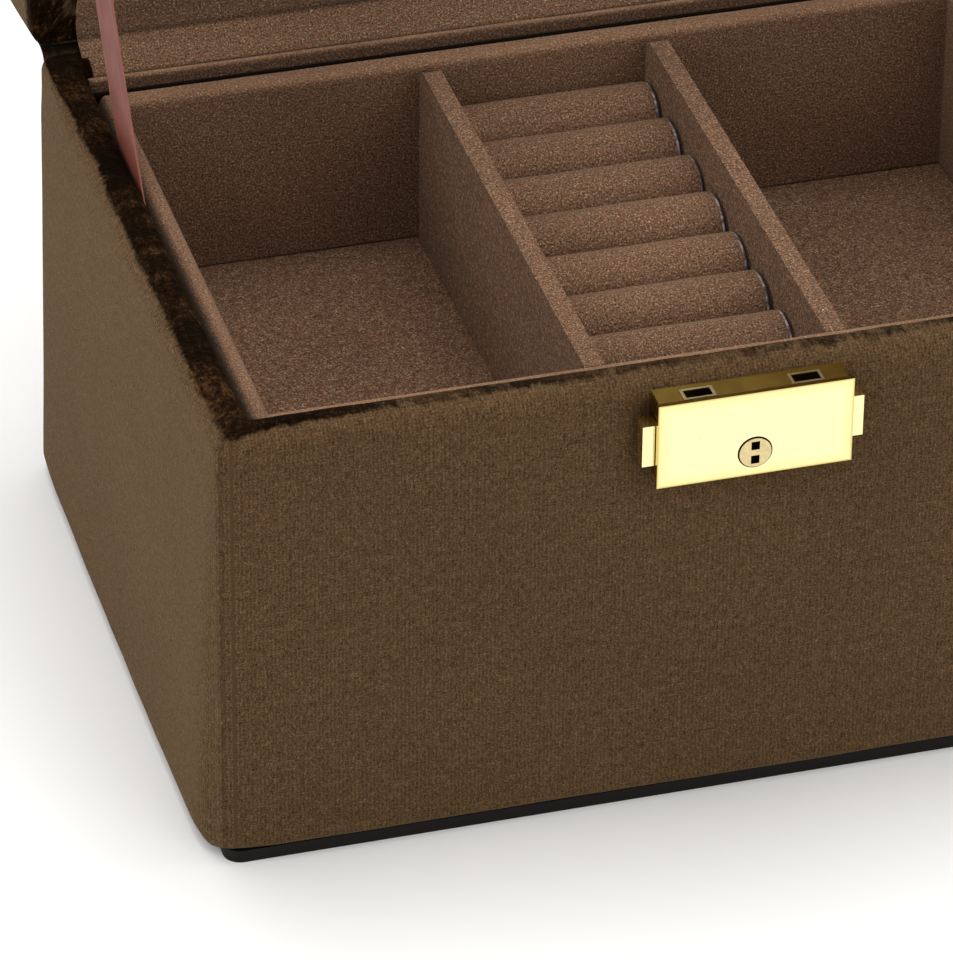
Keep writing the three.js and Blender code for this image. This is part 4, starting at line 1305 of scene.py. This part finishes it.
def build_ribbon(side):
    sx = -1 if side == "left" else 1
    lo = Vector((0, 24.0, 99.0))
    hi3 = opened([[0, 2.2, 118.0]])[0]
    hi = Vector((0, hi3[1], hi3[2]))
    d = (hi - lo).normalized()
    n = Vector((0, -d.z, d.y))
    # the upper end is cut along the lid, behind the tucked-in edge
    e0 = opened([[0, -150.0, 121.6]])[0]
    e1 = opened([[0, 50.0, 121.6]])[0]
    e = Vector((0, e1[1] - e0[1], e1[2] - e0[2]))
    W = 20.0
    C, R = 13, 120
    grid = np.zeros((R, C, 3))
    tex = np.zeros((R, C, 3))
    sel = np.zeros((R, C))
    area = 0.0
    for c in range(C):
        w = -W / 2 + W * c / (C - 1)
        p = lo + n * w
        k = ((e0[1] - p.y) * e.z - (e0[2] - p.z) * e.y) / (d.y * e.z - d.z * e.y)
        for r in range(R):
            t = r / (R - 1)
            q = p + d * (k * t)
            z_free = smooth01((q.z - 116) / 30) * smooth01((1 - t) * 8)
            belly = 0.35 * math.sin(math.pi * t) * z_free
            curl = 0.10 * (abs(w) / (W / 2)) ** 3 * z_free
            wob = 0.14 * n3(t * 4.5, w * 0.03, 2.5 + sx) * z_free
            x = sx * (110.0 - belly * 0.6 + curl + wob)
            grid[r, c] = (x, q.y, q.z)
            tex[r, c] = (w * MM, k * t * MM, 0)
            sel[r, c] = smooth01((abs(w) - W / 2 + 1.2) / 0.8)
    o = sheet_mesh(f"ribbon_{side}", grid, 0.3, SATIN, tex, {"selvedge": sel})
    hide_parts(f"ribbon_stay_{side}")
    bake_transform(o)
    return o


# ------------------------------------------------------- padded mirror frame
def build_pad_frame():
    """Padded lining round the mirror, built with the lid shut."""
    lo_x, hi_x = -109.4, 109.4
    lo_y, hi_y = -76.4, 76.4
    z_top = 143.35
    mx, my = 86.0, 55.0
    # cross-section from the outer edge to the mirror edge: (share 0..1 across, depth below z_top)
    sec = [(0.0, 0.0), (0.0, 1.8), (0.015, 2.9), (0.05, 3.7), (0.12, 4.15), (0.25, 4.5), (0.45, 4.7), (0.65, 4.6), (0.82, 4.2), (0.92, 3.6), (0.975, 2.9), (1.0, 2.0), (1.0, 0.0)]
    st = []
    nx, ny = 44, 30
    for i in range(nx):
        t = i / nx
        st.append(((lo_x + (hi_x - lo_x) * t, lo_y), (-mx + 2 * mx * t, -my)))
    for i in range(ny):
        t = i / ny
        st.append(((hi_x, lo_y + (hi_y - lo_y) * t), (mx, -my + 2 * my * t)))
    for i in range(nx):
        t = i / nx
        st.append(((hi_x + (lo_x - hi_x) * t, hi_y), (mx - 2 * mx * t, my)))
    for i in range(ny):
        t = i / ny
        st.append(((lo_x, hi_y + (lo_y - hi_y) * t), (-mx, my - 2 * my * t)))
    N, P = len(st), len(sec)
    verts = np.zeros((N, P, 3))
    tex = np.zeros((N, P, 3))
    for i, (o_, in_) in enumerate(st):
        for j, (s, dz) in enumerate(sec):
            x = o_[0] + (in_[0] - o_[0]) * s
            y = o_[1] + (in_[1] - o_[1]) * s
            puff = 0.0
            if 0.02 < s < 0.98:
                puff = 0.30 * n3(x * 0.03, y * 0.03, 8.8) * math.sin(math.pi * s)
            verts[i, j] = (x, y, z_top - dz + puff)
            tex[i, j] = (x * MM, y * MM, 0.6 + dz * MM)
    faces = []
    for i in range(N):
        i2 = (i + 1) % N
        for j in range(P):
            j2 = (j + 1) % P
            faces.append((i * P + j, i2 * P + j, i2 * P + j2, i * P + j2))
    o = mesh_object("mirror_pad", opened(verts.reshape(-1, 3)), faces, FLOCK, tex.reshape(-1, 3))
    fix_normals(o)
    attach(o, "lid")
    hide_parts("lid_pad_frame")
    return o


# ---------------------------------------------------------------- lock springs
def build_spring(side):
    """The coil behind a slider, built at one length; the spring shortens as the slider is pressed."""
    sx = -1 if side == "left" else 1
    lo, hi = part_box(f"lock_spring_{side}")
    lo, hi = lo / MM, hi / MM
    wire, turns, M, K = 0.2, 4, 160, 8
    cy, cz = (lo.y + hi.y) / 2, (lo.z + hi.z) / 2
    R = min(hi.y - lo.y, hi.z - lo.z) / 2 - wire
    x0, x1 = (hi.x - wire, lo.x + wire) if sx < 0 else (lo.x + wire, hi.x - wire)
    line = []
    for i in range(M + 1):
        t = i / M
        # the end turns lie flat
        e = smooth01((t - 0.06) / 0.88)
        a = t * 2 * math.pi * turns
        line.append(Vector((x0 + (x1 - x0) * e, cy + R * math.cos(a), cz + R * math.sin(a))))
    verts, faces = [], []
    for i, p in enumerate(line):
        t = (line[min(i + 1, M)] - line[max(i - 1, 0)]).normalized()
        out = Vector((0, p.y - cy, p.z - cz)).normalized()
        b = t.cross(out).normalized()
        out = b.cross(t)
        for k in range(K):
            a = 2 * math.pi * k / K
            verts.append(tuple(p + (out * math.cos(a) + b * math.sin(a)) * wire))
    for i in range(M):
        for k in range(K):
            k2 = (k + 1) % K
            faces.append((i * K + k, i * K + k2, (i + 1) * K + k2, (i + 1) * K + k))
    faces.append(tuple(range(K)))
    faces.append(tuple(M * K + k for k in reversed(range(K))))
    o = mesh_object(f"spring_coil_{side}", verts, faces, STEEL)
    fix_normals(o)
    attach(o, "base")
    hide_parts(f"lock_spring_{side}")
    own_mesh(o)
    return o


# ------------------------------------------------------------------ CAD nodes
def dress(node, material, bevel=0.0, segments=3, angle=35, slot=None):
    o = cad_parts[node]
    o.data.materials.clear()
    o.data.materials.append(material)
    if bevel:
        b = o.modifiers.new("edge", "BEVEL")
        b.width = bevel * MM
        b.segments = segments
        b.limit_method = "ANGLE"
        b.angle_limit = math.radians(angle)
        b.harden_normals = False
    o.data.polygons.foreach_set("use_smooth", [True] * len(o.data.polygons))
    try:
        sm = o.modifiers.new("smooth", "WEIGHTED_NORMAL")
        sm.keep_sharp = True
        sm.weight = 80
    except Exception:
        pass
    return o


base_velvet = build_base_velvet()
fix_normals(base_velvet)
brushed(base_velvet)
lid_velvet = build_lid_velvet()
fix_normals(lid_velvet)
brushed(lid_velvet)
for i in range(1, 9):
    build_roll(i)
build_tray_walls()
build_hinge_strip()
build_fold("left")
build_fold("right")
build_ribbon("left")
build_ribbon("right")
build_pad_frame()
build_spring("left")
build_spring("right")

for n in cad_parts:
    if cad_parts[n].hide_render:
        continue
    if n in ("bottom_cover",):
        dress(n, SOLE, 0.6)
    elif n.endswith("_board"):
        dress(n, BOARD, 0.25, 2)
    elif n.startswith("tray_divider"):
        dress(n, FLOCK_CAD, 2.2, 6)
    elif n.startswith(("tray_", "well_", "ring_roll_bed", "lid_lining")):
        dress(n, FLOCK_CAD, 0.4, 2)
    elif n == "lid_mirror":
        dress(n, MIRROR, 0.8, 2)
    elif n in ("lock_case",):
        dress(n, GOLD_CASE, 0.16, 2)
    elif n == "lock_front_plate":
        dress(n, GOLD_PLATE, 0.45, 4)
    elif n.startswith(("lock_slider", "lid_strike")):
        dress(n, GOLD, 0.28, 3)
    elif n == "lock_plug":
        dress(n, PLUG, 0.12, 2)
    elif n.startswith("hinge_") and "leaf" in n:
        dress(n, BRASS, 0.15, 2)
    else:
        dress(n, STEEL, 0.0)

# --------------------------------------------------------------------- stage
fl = bpy.data.meshes.new("floor")
S = 6.0
fl.from_pydata([(-S, -S, 0), (S, -S, 0), (S, S, 0), (-S, S, 0)], [], [(0, 1, 2, 3)])
floor = bpy.data.objects.new("floor", fl)
scene.collection.objects.link(floor)
fm = Mat("floor")
fm.b.inputs["Base Color"].default_value = (0.86, 0.86, 0.86, 1)
fm.set(Roughness=0.6)
fm.b.inputs["Specular IOR Level"].default_value = 0.2
fl.materials.append(fm.m)

world = bpy.data.worlds.new("world")
scene.world = world
world.use_nodes = True
bg = world.node_tree.nodes["Background"]
bg.inputs[0].default_value = (1, 0.99, 0.975, 1)
bg.inputs[1].default_value = 0.88


def area(name, loc, target, size, power, color=(1, 1, 1), size_y=None):
    d = bpy.data.lights.new(name, "AREA")
    d.shape = "RECTANGLE" if size_y else "SQUARE"
    d.size = size
    if size_y:
        d.size_y = size_y
    d.energy = power
    d.color = color
    o = bpy.data.objects.new(name, d)
    scene.collection.objects.link(o)
    o.location = loc
    o.rotation_mode = "QUATERNION"
    o.rotation_quaternion = (Vector(loc) - Vector(target)).to_track_quat("Z", "Y")
    return o


area("top", (0.1, 0.35, 1.7), (0, 0, 0.08), 1.2, 17, (1, 0.99, 0.97))
area("left", (-1.5, -0.3, 1.0), (0, 0, 0.08), 0.8, 7, (1, 0.99, 0.97))
area("front", (0.7, -1.5, 0.9), (0, 0, 0.08), 0.9, 5, (1, 0.99, 0.97))
